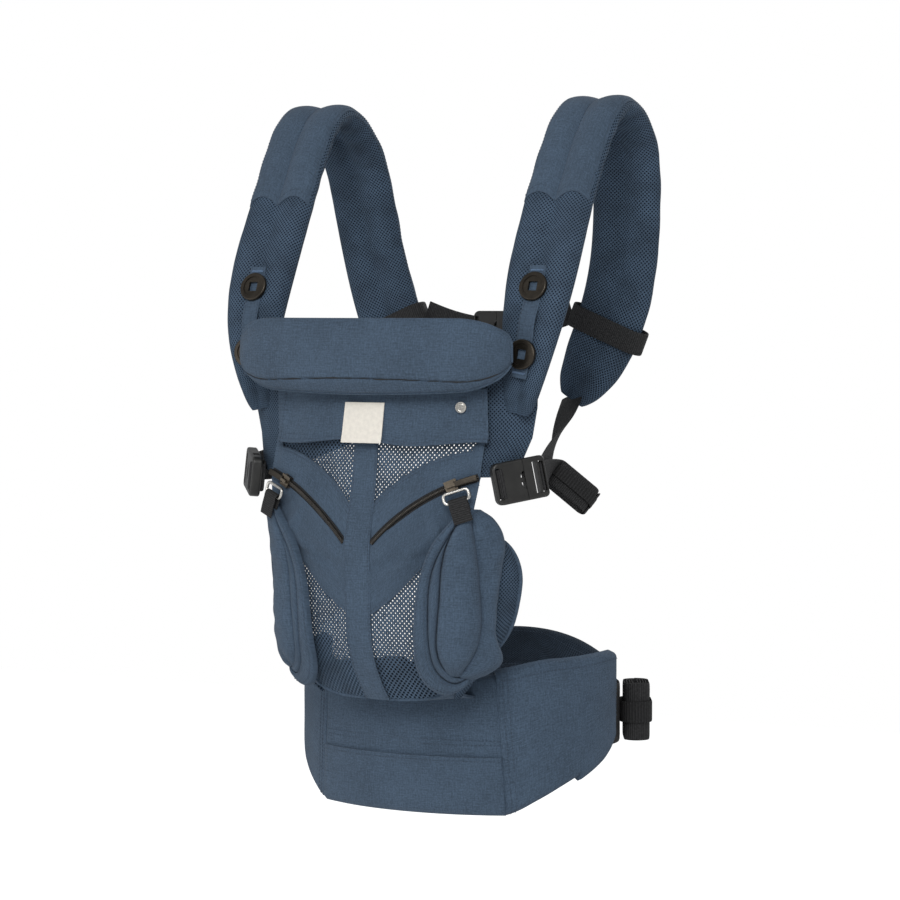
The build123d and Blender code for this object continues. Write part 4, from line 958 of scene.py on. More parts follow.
def lumbar():
    v, u = spread(44, 120)
    x = LUMBAR_LEFT + u * (LUMBAR_RIGHT - LUMBAR_LEFT)
    arch = (LUMBAR_LEFT + LUMBAR_RIGHT) / 2
    half = (LUMBAR_RIGHT - LUMBAR_LEFT) / 2
    top = LUMBAR_TOP - (LUMBAR_TOP - LUMBAR_END_TOP) * ((x - arch) / half) ** 2
    notch = 1 - step(np.abs(x - arch), LUMBAR_NOTCH_HALF - 8, 2 * LUMBAR_NOTCH_HALF + 6)
    low = LUMBAR_BOTTOM + (LUMBAR_NOTCH_TOP - LUMBAR_BOTTOM) * notch
    end = half - np.abs(x - arch)
    low = low + 18.0 * (1 - rounded(end, 18.0))
    top = top - 12.0 * (1 - rounded(end, 12.0))
    z = low + v * (top - low)
    edge = np.minimum(np.minimum(z - low, top - z), end)
    swell = LUMBAR_THICKNESS / 2 * rounded(edge, 7.0)
    middle = LUMBAR_THICKNESS / 2
    outer = lumbar_points(x, z, middle - swell)
    inner = lumbar_points(x, z, middle + swell + 1.5 * rounded(edge, 30.0))
    # the inner face takes the mesh copy darkened with painted shade
    piece = closed_grids("lumbar_cushion", inner, outer, ["inner_mesh", "cotton"], 1)
    puff(piece, border_mask(*inner.shape[:2]), 2.5, 1.6)
    dress(piece, "lumbar", ("lumbar_pad", "lumbar_foam"))
    seam = [grid_line(outer, (0, 1, 0), row=k) for k in (4, -5)]
    seam += [grid_line(inner, (0, -1, 0), row=k) for k in (4, -5)]
    stitches("lumbar_stitches", seam, "lumbar")

    _, radius, face = lumbar_shape()
    belt_out = face + LUMBAR_STAND_OFF + WEB_THICKNESS + SLEEVE_ROOM
    low, high = BELT_CENTRE_Z - WAIST_WEB / 2 - SLEEVE_ROOM, BELT_CENTRE_Z + WAIST_WEB / 2 + SLEEVE_ROOM
    profile = [
        (face + 0.7, low - 6), (face + 0.9, low - 2), (belt_out - 2, low - 0.6), (belt_out + 0.7, low + 3),
        (belt_out + 0.7, (low + high) / 2), (belt_out + 0.7, high - 3), (belt_out - 2, high + 0.6),
        (face + 0.9, high + 2), (face + 0.7, high + 6),
    ]
    for number, x in enumerate((arch - 66, arch + 66)):
        line = smooth_path([(0.0, r, z) for r, z in profile], 60)
        centre_y = lumbar_shape()[0]
        path = np.stack([0 * line[:, 0] + x, centre_y + np.sqrt(line[:, 1] ** 2 - x**2), line[:, 2]], -1)
        across = unit((math.sqrt(radius**2 - x**2), -x, 0))
        piece = ribbon(f"lumbar_sleeve_{number + 1}", path, across, SLEEVE_WIDTH, "cotton", 1.3)
        dress(piece, "lumbar", ("lumbar_sleeves",))


# ---- body panel ----------------------------------------------------------------------
BODY_Z = np.linspace(BODY_SLICES[0][0], BODY_SLICES[-2][0], 221)
BODY_ROWS = through([r[0] for r in BODY_SLICES[:-1]], [r[1:] for r in BODY_SLICES[:-1]], BODY_Z)
BODY_Z = np.append(BODY_Z, BODY_SLICES[-1][0])
BODY_ROWS = np.vstack([BODY_ROWS, BODY_SLICES[-1][1:]])


def body_row(z):
    return [np.interp(z, BODY_Z, BODY_ROWS[:, k]) for k in range(3)]


def body_depth(x, z):
    half, centre, edge = body_row(z)
    sag = edge - centre
    radius = (half**2 + sag**2) / (2 * sag)
    return centre + radius - np.sqrt(np.maximum(radius**2 - x**2, 1.0))


def body_grid(x, z, lift=0.0):
    """Points on the body's outer face, lifted outwards."""
    y = body_depth(x, z)
    small = 0.5
    slope_x = (body_depth(x + small, z) - body_depth(x - small, z)) / (2 * small)
    slope_z = (body_depth(x, z + small) - body_depth(x, z - small)) / (2 * small)
    normal = unit(np.stack([slope_x, -np.ones_like(y), slope_z], -1))
    return np.stack([x, y, z], -1) + normal * np.asarray(lift)[..., None]


def zip_arc():
    low, mid, top = (np.array(p) for p in (ZIP_LOW, ZIP_MID, ZIP_TOP))
    a, b = low - top, mid - top
    n = np.cross(a, b)
    centre = top + np.cross(b * (a @ a) - a * (b @ b), n) / (2 * n @ n)
    normal = unit(n)
    tangent = unit(np.cross(normal, mid - centre))
    if tangent[0] < 0:
        tangent, normal = -tangent, -normal
    out = np.array([0.25, -1.0, 0.12])
    out = unit(out - tangent * (out @ tangent))
    turn_to = [math.acos(unit(mid - centre) @ unit(p - centre)) for p in (low, top)]
    return centre, normal, mid, tangent, out, -turn_to[0], turn_to[1]


def zip_points(turn, across=0.0, lift=0.0):
    """Points along the zip: turn grows outwards, across is up the body, lift is out."""
    centre, normal, mid, tangent, out, _, _ = zip_arc()
    side = -np.cross(out, tangent)
    turn, across, lift = np.broadcast_arrays(turn, across, lift)
    arm = (mid - centre) + side * across[..., None] + out * lift[..., None]
    c, s = np.cos(turn)[..., None], np.sin(turn)[..., None]

    def spun(vector):
        return vector * c + np.cross(normal, vector) * s + normal * (vector @ normal)[..., None] * (1 - c)

    return centre + spun(arm), spun(np.broadcast_to(out, arm.shape))


def zip_line(x, across=0.0):
    """Height and depth of the zip where it passes x."""
    _, _, _, _, _, low, top = zip_arc()
    line, _ = zip_points(np.linspace(low - 0.09, top + 0.09, 120), across, -0.6)
    return np.interp(x, line[:, 0], line[:, 2]), np.interp(x, line[:, 0], line[:, 1])


def foot(x):
    """Height of the body's lower edge, which curves up towards the sides."""
    return BODY_SLICES[0][0] + 10.0 * np.clip(np.abs(x) / BODY_SLICES[0][1], 0, 1) ** 4


# the right halves of two window edges: distances from the middle, and the heights there
WINDOW_LOW = ([0.0, 9.0, 50.0, 92.0, 104.0], [250.0, 262.0, 296.0, 309.0, 309.0])
LOWER_WINDOW_TOP = ([0.0, 9.0, 36.0, 66.0], [166.0, 172.0, 192.0, 224.0])
NET_SINK, NET_INNER_X, NET_OVERLAP, UPPER_NET_REACH, LOWER_NET_REACH = 1.6, 7.0, 4.0, 88.0, 68.0
CLOTH_INNER_X, COIL_GAP = 9.0, 2.7


def window_low(x):
    """The upper window's lower edge."""
    return through(*WINDOW_LOW, x)


def lower_window_top(x):
    return through(*LOWER_WINDOW_TOP, np.minimum(x, LOWER_WINDOW_TOP[0][-1]))


def zip_lifted(x, z, edge_z, edge_y, lift, reach=15.0):
    """Body points that rise to meet the zip at their edge row."""
    gap = body_depth(x, edge_z) - edge_y - 0.6
    swell = gap * np.exp(-(((z - edge_z) / reach) ** 2))
    return body_grid(x, z, lift + swell)


def net_grids():
    """The right nets of the upper and lower window, a little behind the cloth."""
    v, u = spread(40, 90)
    x = NET_INNER_X + u * UPPER_NET_REACH
    z = window_low(x) - NET_OVERLAP + v * (YOKE_BOTTOM + NET_OVERLAP - window_low(x) + NET_OVERLAP)
    upper = body_grid(x, z, -NET_SINK - 0.5 * rumple(np.stack([x, z * 0, z], -1), 40.0, 8))
    x = NET_INNER_X + u * LOWER_NET_REACH
    top = lower_window_top(x) + NET_OVERLAP
    z = foot(x) + 0.5 + v * (top - foot(x) - 0.5)
    lower = body_grid(x, z, -NET_SINK - 0.6 * rumple(np.stack([x, z * 0, z], -1), 36.0, 9))
    return {"upper": upper, "lower": lower}


def band_grid():
    """The right band between the zip and the upper window."""
    v, u = spread(40, 90)
    x = CLOTH_INNER_X + u * (body_row(300.0)[0] - CLOTH_INNER_X)
    edge_z, edge_y = zip_line(x, COIL_GAP)
    top = window_low(x) + (YOKE_BOTTOM - window_low(x)) * step(x, 91.0, 96.0)
    z = edge_z + v * (top - edge_z)
    fold = ridge(x, z, (20, 246), (60, 284), 6.0, 1.1) + ridge(x, z, (34, 262), (94, 300), 5.0, 0.8)
    return zip_lifted(x, z, edge_z, edge_y, fold)


def lower_cloth_grid():
    """The right cloth below the zip, round the lower window; its width follows its height."""
    v, u = spread(40, 90)
    half = body_row(240.0)[0]
    for _ in range(4):
        x = CLOTH_INNER_X + u * (half + 1.0 - CLOTH_INNER_X)
        edge_z, edge_y = zip_line(x, -COIL_GAP)
        top = lower_window_top(x)
        low = top + (foot(x) - top) * step(u, 0.72, 0.82)
        z = low + v * (edge_z - low)
        half = body_row(z)[0]
    fold = ridge(x, z, (16, 226), (62, 240), 7.0, 2.6) + ridge(x, z, (30, 205), (78, 250), 6.0, 2.4)
    fold = fold - ridge(x, z, (12, 212), (70, 226), 4.0, 1.6)
    fold = fold + ridge(x, z, (60, 262), (80, 232), 5.0, 2.2)
    return zip_lifted(x, z, edge_z, edge_y, fold, 12.0)


def centre_strip_grid():
    foot_z = BODY_SLICES[0][0]
    v, u = spread(120, 17, across=(-1, 1))
    z = foot_z + 0.3 + v * (YOKE_BOTTOM + 2 - foot_z)
    sway = 1.2 * np.sin(z / 38.0) * step(z, 110, 150) * (1 - step(z, 260, 310))
    x = u * STRIP_HALF * (1 + 0.06 * np.sin(z / 27.0)) + sway
    crumple = 0.7 * rumple(np.stack([x, z * 0, z], -1), 22.0, 14) * step(z, 250, 225)
    pinch = 0.9 * np.exp(-(((z - 231) / 9) ** 2)) - 0.8 * np.exp(-(((z - 204) / 5) ** 2))
    return body_grid(x, z, 0.9 - 0.5 * u**6 + crumple * 0.5 + pinch)


def underside_grid():
    """The bottom of the bowl, from the body's foot back to the waistband."""
    z, half = BODY_SLICES[0][:2]
    v, u = spread(20, 60, across=(-1, 1))
    x = u * half
    front = body_depth(x, foot(x)) + 1.2
    back = -(WAIST_HALF_DEPTH + 0.8) * np.sqrt(1 - (x / (WAIST_HALF_WIDTH + 0.8)) ** 2)
    y = front + v * (back - front)
    return np.stack([x, y, z + (foot(x) - z) * (1 - v) - 3.0 * v * (1 - v)], -1)


def body_panels():
    nets, right_band, right_cloth = net_grids(), band_grid(), lower_cloth_grid()
    seams = []
    for side, name in SIDES:
        for level, grid in nets.items():
            net = mirrored(grid, side)
            cloth_panel(f"{level}_window_{name}", net, OUTWARD, "net", 0.7, "open_mesh",
                        level + "_mesh_windows", places=net[..., [0, 2]] * MM)
        band, cloth = mirrored(right_band, side), mirrored(right_cloth, side)
        cloth_panel("v_band_" + name, band, OUTWARD, "cotton", 1.5, "navy_cotton", "v_bands")
        seams += [grid_line(band[:, :80], OUTWARD, row=k) for k in (-2, -5)]
        seams += [grid_line(band, OUTWARD, row=2)]
        cloth_panel("lower_panel_" + name, cloth, OUTWARD, "cotton", 1.5, "navy_cotton", "lower_panels",
                    flat=(0.12, 0.19))
        seams += [grid_line(cloth[:, :58], OUTWARD, row=2), grid_line(cloth, OUTWARD, row=-3)]
    strip = centre_strip_grid()
    cloth_panel("centre_strip", strip, OUTWARD, "cotton", 1.3, "navy_cotton", "body_centre_strip")
    seams += [grid_line(strip, OUTWARD, column=k) for k in (1, -2)]
    stitches("body_stitches", seams)
    cloth_panel("seat_underside", underside_grid(), (0, 0, -1), "cotton", 2.2, "navy_cotton",
                "seat_base", 0.6)


def zips():
    _, _, _, _, _, low, top = zip_arc()
    for side, name in SIDES:
        turn = np.linspace(low, top, 70)
        path, out = zip_points(turn)
        across = unit(np.cross(out, np.gradient(path, axis=0)))
        side_band("zip_tape_" + name, path - out, across, side, ZIP_TAPE_WIDTH - TAPE_SEWN_IN,
                  "carrier", "zip_tape", "zip_tapes", thickness=0.9)
        line = (mirrored(path, side), mirrored(out, side))
        size = (sizes().tooth_pitch * 1.25, ZIP_COIL * 0.84 * MM, ZIP_COIL_HEIGHT * 1.2 * MM)
        piece = beads("zip_coil_" + name, [line], "coil", sizes().tooth_pitch, size)
        dress(piece, "carrier")

        # flat puller that lies on the coil beyond the slider
        park = math.radians(SLIDER_PARK)
        path, out = zip_points(np.linspace(park - 0.012, park + 0.098, 30), 0.0, 3.4)
        across = unit(np.cross(out, np.gradient(path, axis=0)))
        side_band("zip_puller_" + name, path, across, side, PULLER_WIDTH,
                  "zip_slider_" + name, "slider_metal", finish="gunmetal", thickness=1.2)


# ---- seat wings and sides ------------------------------------------------------------
def wing_surface(s, z):
    """Points and outward directions of the wing's bulged face; s = 0 is its inner edge."""
    flat = [(*row[1], *row[2]) for row in WING_ROWS]
    row = through([row[0] for row in WING_ROWS], flat, z)
    inner, across = row[..., 0:2], row[..., 2:4] - row[..., 0:2]
    width = np.linalg.norm(across, axis=-1, keepdims=True)
    normal = np.stack([across[..., 1], -across[..., 0]], -1) / width
    rise = (4 * s * (1 - s))[..., None]
    point = inner + across * s[..., None] + normal * 0.13 * width * rise
    direction = unit(normal + across / width * np.clip(2 * s - 1, -1, 1)[..., None] * 0.5)
    return np.concatenate([point, z[..., None]], -1), np.concatenate([direction, 0 * width], -1)


def wing_line(line, count):
    """Evenly spaced places on a sewn line, with shares of the width weighed as millimetres."""
    weighed = [(s * WING_WIDTH, z, 0.0) for s, z in line]
    return smooth_path(weighed, count)[:, :2] / (WING_WIDTH, 1.0)


def wing_leaf(name, first, last, swell, edges, folds=0.0, seed=1, ends=18.0, grain=(120, 44)):
    """A filled pad between two sewn lines of the wing; edges are the heights at them."""
    rows, columns = grain
    first, last = wing_line(first, rows), wing_line(last, rows)
    w = np.linspace(0, 1, columns)
    places = first[:, None] * (1 - w[None, :, None]) + last[:, None] * w[None, :, None]
    face, out = wing_surface(places[..., 0], places[..., 1])
    length = np.linalg.norm(np.diff(face[:, columns // 2], axis=0), axis=1)
    along = np.concatenate([[0], np.cumsum(length)])
    close = rounded(np.minimum(along, along[-1] - along), ends)[:, None]
    crown = np.sqrt(np.clip(1 - (2 * w - 1) ** 2, 0, 1))[None]
    crease = folds * (np.sin(along[:, None] / 7.0 + 5 * w[None] + 2 * rumple(face, 40.0, seed)) * crown)
    height = edges[0] * (1 - w[None]) + edges[1] * w[None] + swell * crown * close
    height = height + crease * 0.5 + 0.5 * folds * rumple(face, 18.0, seed + 3)
    front = face + out * height[..., None]
    back = face - out * (3.5 + 0 * height[..., None])
    held = border_mask(rows, columns)
    drift = np.clip((face[..., 2:] - 100.0) / 160.0, 0, 1)
    drift = np.sin(np.pi * drift) * np.array((-8.0, 5.0, 0.0))
    for side, side_name in SIDES:
        pose = (1 - side) / 2
        near, far = front + pose * (drift - out * height[..., None] * 0.35), back + pose * drift
        piece = closed_grids(name + side_name, mirrored(near, side), mirrored(far, side), ["cotton"])
        puff(piece, held, 2.5, 2.0, 24.0)
        nodes = ("seat_wing_" + side_name, "seat_bindings") if side > 0 else ("seat_wing_" + side_name,)
        dress(piece, "carrier", nodes)
    return front, out, drift - out * height[..., None] * 0.35


def shifted(line, amount, drop=0.0):
    return [(s + amount, z + drop) for s, z in line]


def seat_wings():
    top, side_line = shifted(WING_BORDER, 0.05, 1.0), shifted(WING_SIDE, -0.03)
    under, over = shifted(WING_CREASE, -0.02), shifted(WING_CREASE, 0.01)
    wing_leaf("wing_base_", top, side_line, 1.0, (-2.0, -1.5), 0.2, 2)
    wing_leaf("wing_outer_leaf_", under, WING_SIDE, 6.5, (-2.0, 0.0), 1.2, 5, 12.0)
    wing_leaf("wing_inner_leaf_", WING_FOLD, over, 9.5, (-0.8, -1.5), 1.2, 8, 22.0)
    wing_leaf("wing_fold_", WING_BINDING, WING_FOLD, 4.4, (-0.8, -0.8), 0.4, 11, 10.0, (120, 16))
    band, out, drift = wing_leaf(
        "wing_binding_", WING_BORDER, WING_BINDING, 3.4, (1.2, 0.4), 0.25, 14, 5.0, (150, 16)
    )
    lines = []
    for side, _ in SIDES:
        for column in (3, 12):
            place = (band + out * 0.3 + drift * (1 - side) / 2)[8:-8, column]
            lines.append((mirrored(place, side), mirrored(out[8:-8, column], side)))
    stitches("seat_wing_stitches", lines)


def side_panels():
    v, u = spread(60, 30)
    low = SIDE_EDGE[0][0] + 1.0 + 30.0 * u**1.6
    high = 258.0 - 20.0 * u**1.5
    z = low + v * (high - low)
    edge = through([r[0] for r in SIDE_EDGE], [r[1:] for r in SIDE_EDGE], z)
    half, _, body_y = body_row(z)
    to_end = np.minimum(z - low, high - z)
    tuck = (6.0 + 20.0 * (1 - rounded(to_end, 40.0))) * u**2
    x = half - 2 + (edge[..., 0] - half + 2) * u - tuck
    y = body_y + 1.5 + (edge[..., 1] - body_y - 1.5) * u - 0.7 * tuck
    bulge = 7.0 * np.sin(np.pi * u) * np.sin(np.pi * np.clip(v, 0, 1)) ** 0.5
    grid = np.stack([x + bulge * 0.6, y - bulge * 0.5, z], -1)
    for side, name in SIDES:
        sheet = mirrored(grid, side)
        cloth_panel("side_mesh_" + name, sheet, (side, -0.8, 0), "mesh", 2.4, "air_mesh", "side_mesh_panels")
        rim = np.concatenate([sheet[::-1, -1][:-1], sheet[0, ::-1]])[::-1]
        piece = cord_tube("side_mesh_edge_" + name, smooth_path(rim[20:], 60), 1.9, "cotton")
        dress(piece, "carrier")


def ring_tabs():
    along = unit(LOOP_ALONG)
    out = np.array(LOOP_OUT)
    out = unit(out - along * (out @ along))
    down = -np.cross(out, along)
    bar = LOOP_HEIGHT / 2 - LOOP_WIRE / 2
    profile = [(bar + 18, 1.5), (bar + 11, 2.2), (bar + 3, 2.5), (bar - 1.5, 1.9), (bar - 2.4, 0.0),
               (bar - 1.5, -1.9), (bar + 3, -2.3), (bar + 10, -1.6)]
    path = smooth_path([np.array(LOOP_CENTRE) + down * d + out * o for d, o in profile], 50)
    for side, name in SIDES:
        side_band("ring_web_" + name, path, along, side, TAB_WIDTH, "carrier", "black_webbing",
                  "wing_ring_tabs", thickness=1.3)


# ---- yoke, flap and gussets ----------------------------------------------------------
def yoke():
    top = BODY_SLICES[-1][0]
    v, u = spread(50, 100, across=(-1, 1))
    z = YOKE_BOTTOM - 2 + v * (top - YOKE_BOTTOM + 2)
    x = u * YOKE_HALF
    sheet = body_grid(x, z, -0.3)
    cloth_panel("yoke_cloth", sheet, OUTWARD, "cotton", 2.4, "navy_cotton", "yoke_panel")

    # the top edge folded over into the roll that the pillow turns on
    x = np.linspace(-FOLD_HALF, FOLD_HALF, 90)
    line = np.stack([x, pillow_depth(x) + 0.5, FOLD_Z - 1.2 * (x / FOLD_HALF) ** 4], -1)
    piece = cord_tube("yoke_fold", line, FOLD_RADIUS - 0.7, "cotton", 20)
    dress(piece, "head_support")
    v, u = spread(14, 90, across=(-1, 1))
    x = u * FOLD_HALF * (0.97 + 0.07 * v)
    back = body_depth(x, np.full_like(x, top)) + 1.2
    y = pillow_depth(x) + v * (back - pillow_depth(x))
    z = top + 1.5 - 0.9 * v + 0.3 * rumple(np.stack([x, y, 0 * x], -1), 30.0, 5)
    lead = np.stack([x, y, z], -1)
    piece = panel("yoke_lead", lead, (0, 0, 1), ["cotton"], 1.4)
    dress(piece, "carrier")

    v, u = spread(40, 120, across=(-1, 1))
    u = 0.06 + 0.94 * u
    low = YOKE_BOTTOM - FLAP_DROP + 6.5 + 2.6 * np.sin(u * 5.5 + 2.2) - 3.0 * np.abs(u) ** 6
    z = low + v * (FLAP_TOP + 8 - low)
    x = u * (FLAP_HALF + 0.8 * (1 - v))
    hang = np.clip((FLAP_TOP - z) / (FLAP_TOP - YOKE_BOTTOM + FLAP_DROP), 0, 1)
    lift = FLAP_THICKNESS + 0.1 + FLAP_LEAN * hang + 1.1 * np.sin(u * 11 + 1) * hang**2
    lift = lift + 0.9 * rumple(np.stack([x, 0 * x, z], -1), 46.0, 31)
    flap = body_grid(x, z, lift)
    cloth_panel("yoke_flap_cloth", flap, OUTWARD, "cotton", 2.0, "navy_cotton", "yoke_flap",
                held="hung", rests_on=["yoke_cloth"])
    lines = [grid_line(flap, OUTWARD, row=2)]
    lines += [grid_line(flap, OUTWARD, column=k) for k in (2, -3)]
    stitches("yoke_stitches", lines)

    v, u = spread(26, 26, up=(-1, 1), across=(-1, 1))
    x, z = u * LABEL_WIDTH / 2, LABEL_CENTRE + v * LABEL_HEIGHT / 2
    hang = np.clip((FLAP_TOP - z) / (FLAP_TOP - YOKE_BOTTOM + FLAP_DROP), 0, 1)
    lift = 1.0 + 0.15 + FLAP_THICKNESS + FLAP_LEAN * hang + 0.35 + 0.5 * (1 - u**2) * (1 - v) / 2
    tag = body_grid(x, z, lift)
    cloth_panel("label_cloth_tag", tag, OUTWARD, "label", 0.8, "label_cloth", "front_label",
                rests_on=["yoke_flap_cloth"])


def gussets():
    """Mesh between the yoke's side and the lower end of the strap."""
    v, u = spread(40, 24)
    z = GUSSET_LOW + v * (GUSSET_HIGH - GUSSET_LOW)
    outer = np.interp(z, [GUSSET_LOW, 320, 345, GUSSET_HIGH], [122, 132, 137, 138])
    half, _, edge = body_row(z)
    x = half - 9 + (outer - half + 9) * u
    bulge = 2.5 * np.sin(np.pi * u)
    grid = np.stack([x + bulge * 0.5, edge + 0.5 + 21.5 * u - bulge, z], -1)
    for side, name in SIDES:
        sheet = mirrored(grid, side)
        cloth_panel("gusset_mesh_" + name, sheet, (side, -0.6, 0), "mesh", 2.2, "air_mesh",
                    "shoulder_gussets", 0.4)


# ---- head support --------------------------------------------------------------------
def pillow_depth(x):
    return HEAD_CENTRE_Y + (HEAD_END_Y - HEAD_CENTRE_Y) * (x / HEAD_HALF) ** 2


PILLOW_ROWS, PILLOW_COLUMNS = 64, 150


def pillow_grids():
    """The pillow's front and back, how high each point lies from -1 to 1, and its seam there."""
    v, u = spread(PILLOW_ROWS, PILLOW_COLUMNS, up=(-1, 1), across=(-1, 1))
    x = HEAD_HALF * np.sin(u * math.pi / 2 * 0.995)
    to_end = HEAD_HALF - np.abs(x)
    middle, tall = (HEAD_TOP + HEAD_BOTTOM) / 2, (HEAD_TOP - HEAD_BOTTOM) / 2
    corner = rounded(to_end, HEAD_END_RADIUS + 20)
    away = (x / HEAD_HALF) ** 2
    low = -tall * corner * (1.05 - 0.2 * away)
    high = tall * (0.4 + 0.6 * corner)
    z = middle + np.where(v < 0, -v * low, v * high)
    centre = pillow_depth(x)
    body = np.sqrt(np.clip(1 - np.abs(v) ** 2.6, 0, 1)) * (0.45 + 0.55 * rounded(to_end, 60.0))
    body = body * rounded(to_end + 1.0, 13.0)
    half = HEAD_THICKNESS / 2 * body
    seam_v = -0.56 - 0.3 * away
    seam = 2.6 * np.exp(-(((v - seam_v) / 0.022) ** 2))
    tuck = 0.8 * step(v, seam_v[0, 0] + 0.02, seam_v[0, 0] + 0.2)
    crumple = 0.8 * rumple(np.stack([x, 0 * x, z], -1), 44.0, 12) * body
    pucker = 0.5 * np.sin(x / 2.9 + 2 * np.sin(x / 17)) * np.exp(-(((v - seam_v) / 0.12) ** 2)) * body
    # its top edge is drawn up in front of the roll it turns on
    lip = step(v, 0.55, 1.0) * rounded(to_end, 30.0)
    z = z + 4.6 * step(v, 0.6, 1.0) * rounded(to_end, 34.0)
    half = np.maximum(half, 6.6 * lip)
    behind = centre + half + (-4.2 - half) * step(z, HEAD_TOP - 6.5, HEAD_TOP - 2.5) * rounded(to_end, 30.0)
    front = np.stack([x, centre - half - crumple - tuck + seam - pucker, z], -1)
    return front, np.stack([x, behind, z], -1), v, seam_v


def head_support():
    front, back, v, seam_v = pillow_grids()
    piece = closed_grids("head_pillow", front, back, ["cotton"], crease=80)
    on_seam, at_top = (np.abs(v - seam_v) < 0.03).ravel(), (v > 0.9).ravel()
    held = border_mask(PILLOW_ROWS, PILLOW_COLUMNS) | np.concatenate([on_seam, at_top])
    puff(piece, held, 3.5, 2.6)
    dress(piece, "head_support", ("head_support", "head_filling"))
    columns = np.arange(12, PILLOW_COLUMNS - 12)
    rows = ((seam_v[0, columns] + 1) / 2 * (PILLOW_ROWS - 1)).round().astype(int)
    line = smooth_path(front[rows, columns][::6] + (0, -0.5, 0), 200)
    piece = cord_tube("head_seam", line, 0.55, "dark_thread", 8)
    dress(piece, "head_support")
    # piped edge round the pillow
    rims = [np.concatenate([g[0], g[:, -1], g[-1][::-1], g[::-1, 0]]) for g in (front, back)]
    path = smooth_path((sum(rims) / 2)[::3], 260)
    piece = cord_tube("head_piping", path[2:-2], 1.1, "cotton", 8)
    dress(piece, "head_support")


# ---- shoulder straps -----------------------------------------------------------------
STRAP_ROWS, STRAP_COLUMNS = 240, 40
STRAP_BEND_AT, STRAP_BEND_REACH, STRAP_TIP = 0.47, 75.0, 70


def strap_frames():
    """Centre, across, outward, width and thickness along the right strap."""
    stations = np.array(STRAP_STATIONS)
    knots = chord(stations[:, :3])
    at = np.linspace(0, knots[-1], STRAP_ROWS)
    rows = through(knots, stations, at)
    centre = rows[:, :3]
    tangent = unit(np.gradient(centre, axis=0))
    across = np.array([1.0, 0, 0]) - tangent * tangent[:, :1]
    across = unit(across)
    return centre, tangent, across, np.cross(across, tangent), rows[:, 3], rows[:, 4]


def strap_height(part, profile):
    """Height of the padded channels at a part of the half width."""
    channels = 0.60 + 0.40 * np.abs(np.sin(np.pi * part)) ** 0.8
    return profile * channels * rounded(1 - np.abs(part), 0.22)


def strap_surface(part, rows, face, extra=0.0):
    """Points on the strap's outer (1) or inner (-1) face."""
    centre, _, across, out, width, thick = (a[rows] for a in strap_frames())
    side = across * (part * width / 2)[..., None]
    rise = strap_height(part, thick / 2) + extra
    return centre + side + out * (face * rise)[..., None]


def strap_rings():
    """Closed rings of the right strap's pad, crushed on its inner face where it bends."""
    centre = strap_frames()[0]
    part = np.sin(np.linspace(-math.pi / 2, math.pi / 2, STRAP_COLUMNS))
    row = np.arange(STRAP_ROWS)
    p, r = np.meshgrid(part, row)
    length = chord(centre)[r]
    bend = np.exp(-(((length - length.max() * STRAP_BEND_AT) / STRAP_BEND_REACH) ** 2))
    tip = step(length, length.max() - STRAP_TIP, length.max())
    crush = bend * (1.6 * np.sin(length / 3.4 + 2.2 * np.sin(p * 2.5)) * (1 - 0.5 * np.abs(p)))
    outer = strap_surface(p, r, 1, 0.35 * rumple(np.stack([p * 30, 0 * p, length], -1), 30.0, 4))
    inner_extra = crush - 3.0 * bend * np.exp(-((p / 0.25) ** 2)) + 0.6 * tip * np.sin(length / 5)
    inner = strap_surface(p, r, -1, inner_extra)
    rings = np.concatenate([outer, inner[:, ::-1][:, 1:-1]], axis=1)
    swell = 1 - 0.35 * (1 - rounded(np.minimum(row, STRAP_ROWS - 1 - row) + 0.5, 7.0))
    return centre[:, None] + (rings - centre[:, None]) * swell[:, None, None]


def strap_cover():
    """Cotton on the right strap's outer face, and the strap row that each point lies on."""
    centre = strap_frames()[0]
    start = int(np.nonzero(centre[:, 2] > COTTON_FROM_Z)[0][0])
    v, q = spread(170, 41, across=(-0.965, 0.965))
    scallop = 3.2 * (np.abs(np.sin(np.pi * q)) - 0.5)
    end_row = STRAP_ROWS - 9
    rows = (start + scallop * (1 - v) + v * (end_row - start)).clip(0, STRAP_ROWS - 1)
    low_row = np.floor(rows).astype(int).clip(0, STRAP_ROWS - 2)
    share = (rows - low_row)[..., None]
    length = chord(centre)[low_row]
    pull = 0.5 * np.sin(length / 5.2 + 3 * np.abs(q)) * np.abs(q) ** 3
    lift = 0.75 + pull + 0.5 * rumple(np.stack([q * 30, 0 * q, length], -1), 38.0, 6)
    cover = strap_surface(q, low_row, 1, lift) * (1 - share)
    return cover + strap_surface(q, low_row + 1, 1, lift) * share, low_row


def straps():
    centre, _, across, out, _, _ = strap_frames()
    rings = strap_rings()
    cover, low_row = strap_cover()
    held = np.zeros(rings.shape[:2], bool)
    middle = STRAP_COLUMNS // 2
    held[:, [0, middle - 1, middle, STRAP_COLUMNS - 1, STRAP_COLUMNS + 18, STRAP_COLUMNS + 19]] = True
    held[:3], held[-3:] = True, True

    for side, name in SIDES:
        piece = tube("strap_pad_" + name, mirrored(rings, side), ["mesh"])
        puff(piece, held.ravel(), 2.2, 1.3, 22.0)
        nodes = ("shoulder_strap_" + name, "strap_foam_cores")
        dress(piece, "carrier", nodes)
        sheet = mirrored(cover, side)
        normal = unit(np.cross(np.gradient(sheet, axis=0), np.gradient(sheet, axis=1)))
        facing = mirrored(out[low_row], side)
        normal = normal if (normal * facing).sum() > 0 else -normal
        piece = closed_grids("strap_cotton_" + name, sheet, sheet - normal * 1.1, ["cotton"])
        dress(piece, "carrier")
        cloth_sheet(piece, cover, "stretched", ["strap_pad_" + name])
        seams = [(sheet[3] + normal[3] * 0.12, normal[3])]
        seams += [(sheet[4:-4, k] + normal[4:-4, k] * 0.12, normal[4:-4, k]) for k in (1, -2, 20)]
        stitches("strap_stitches_" + name, seams)

    strap_strips(centre, across, out)


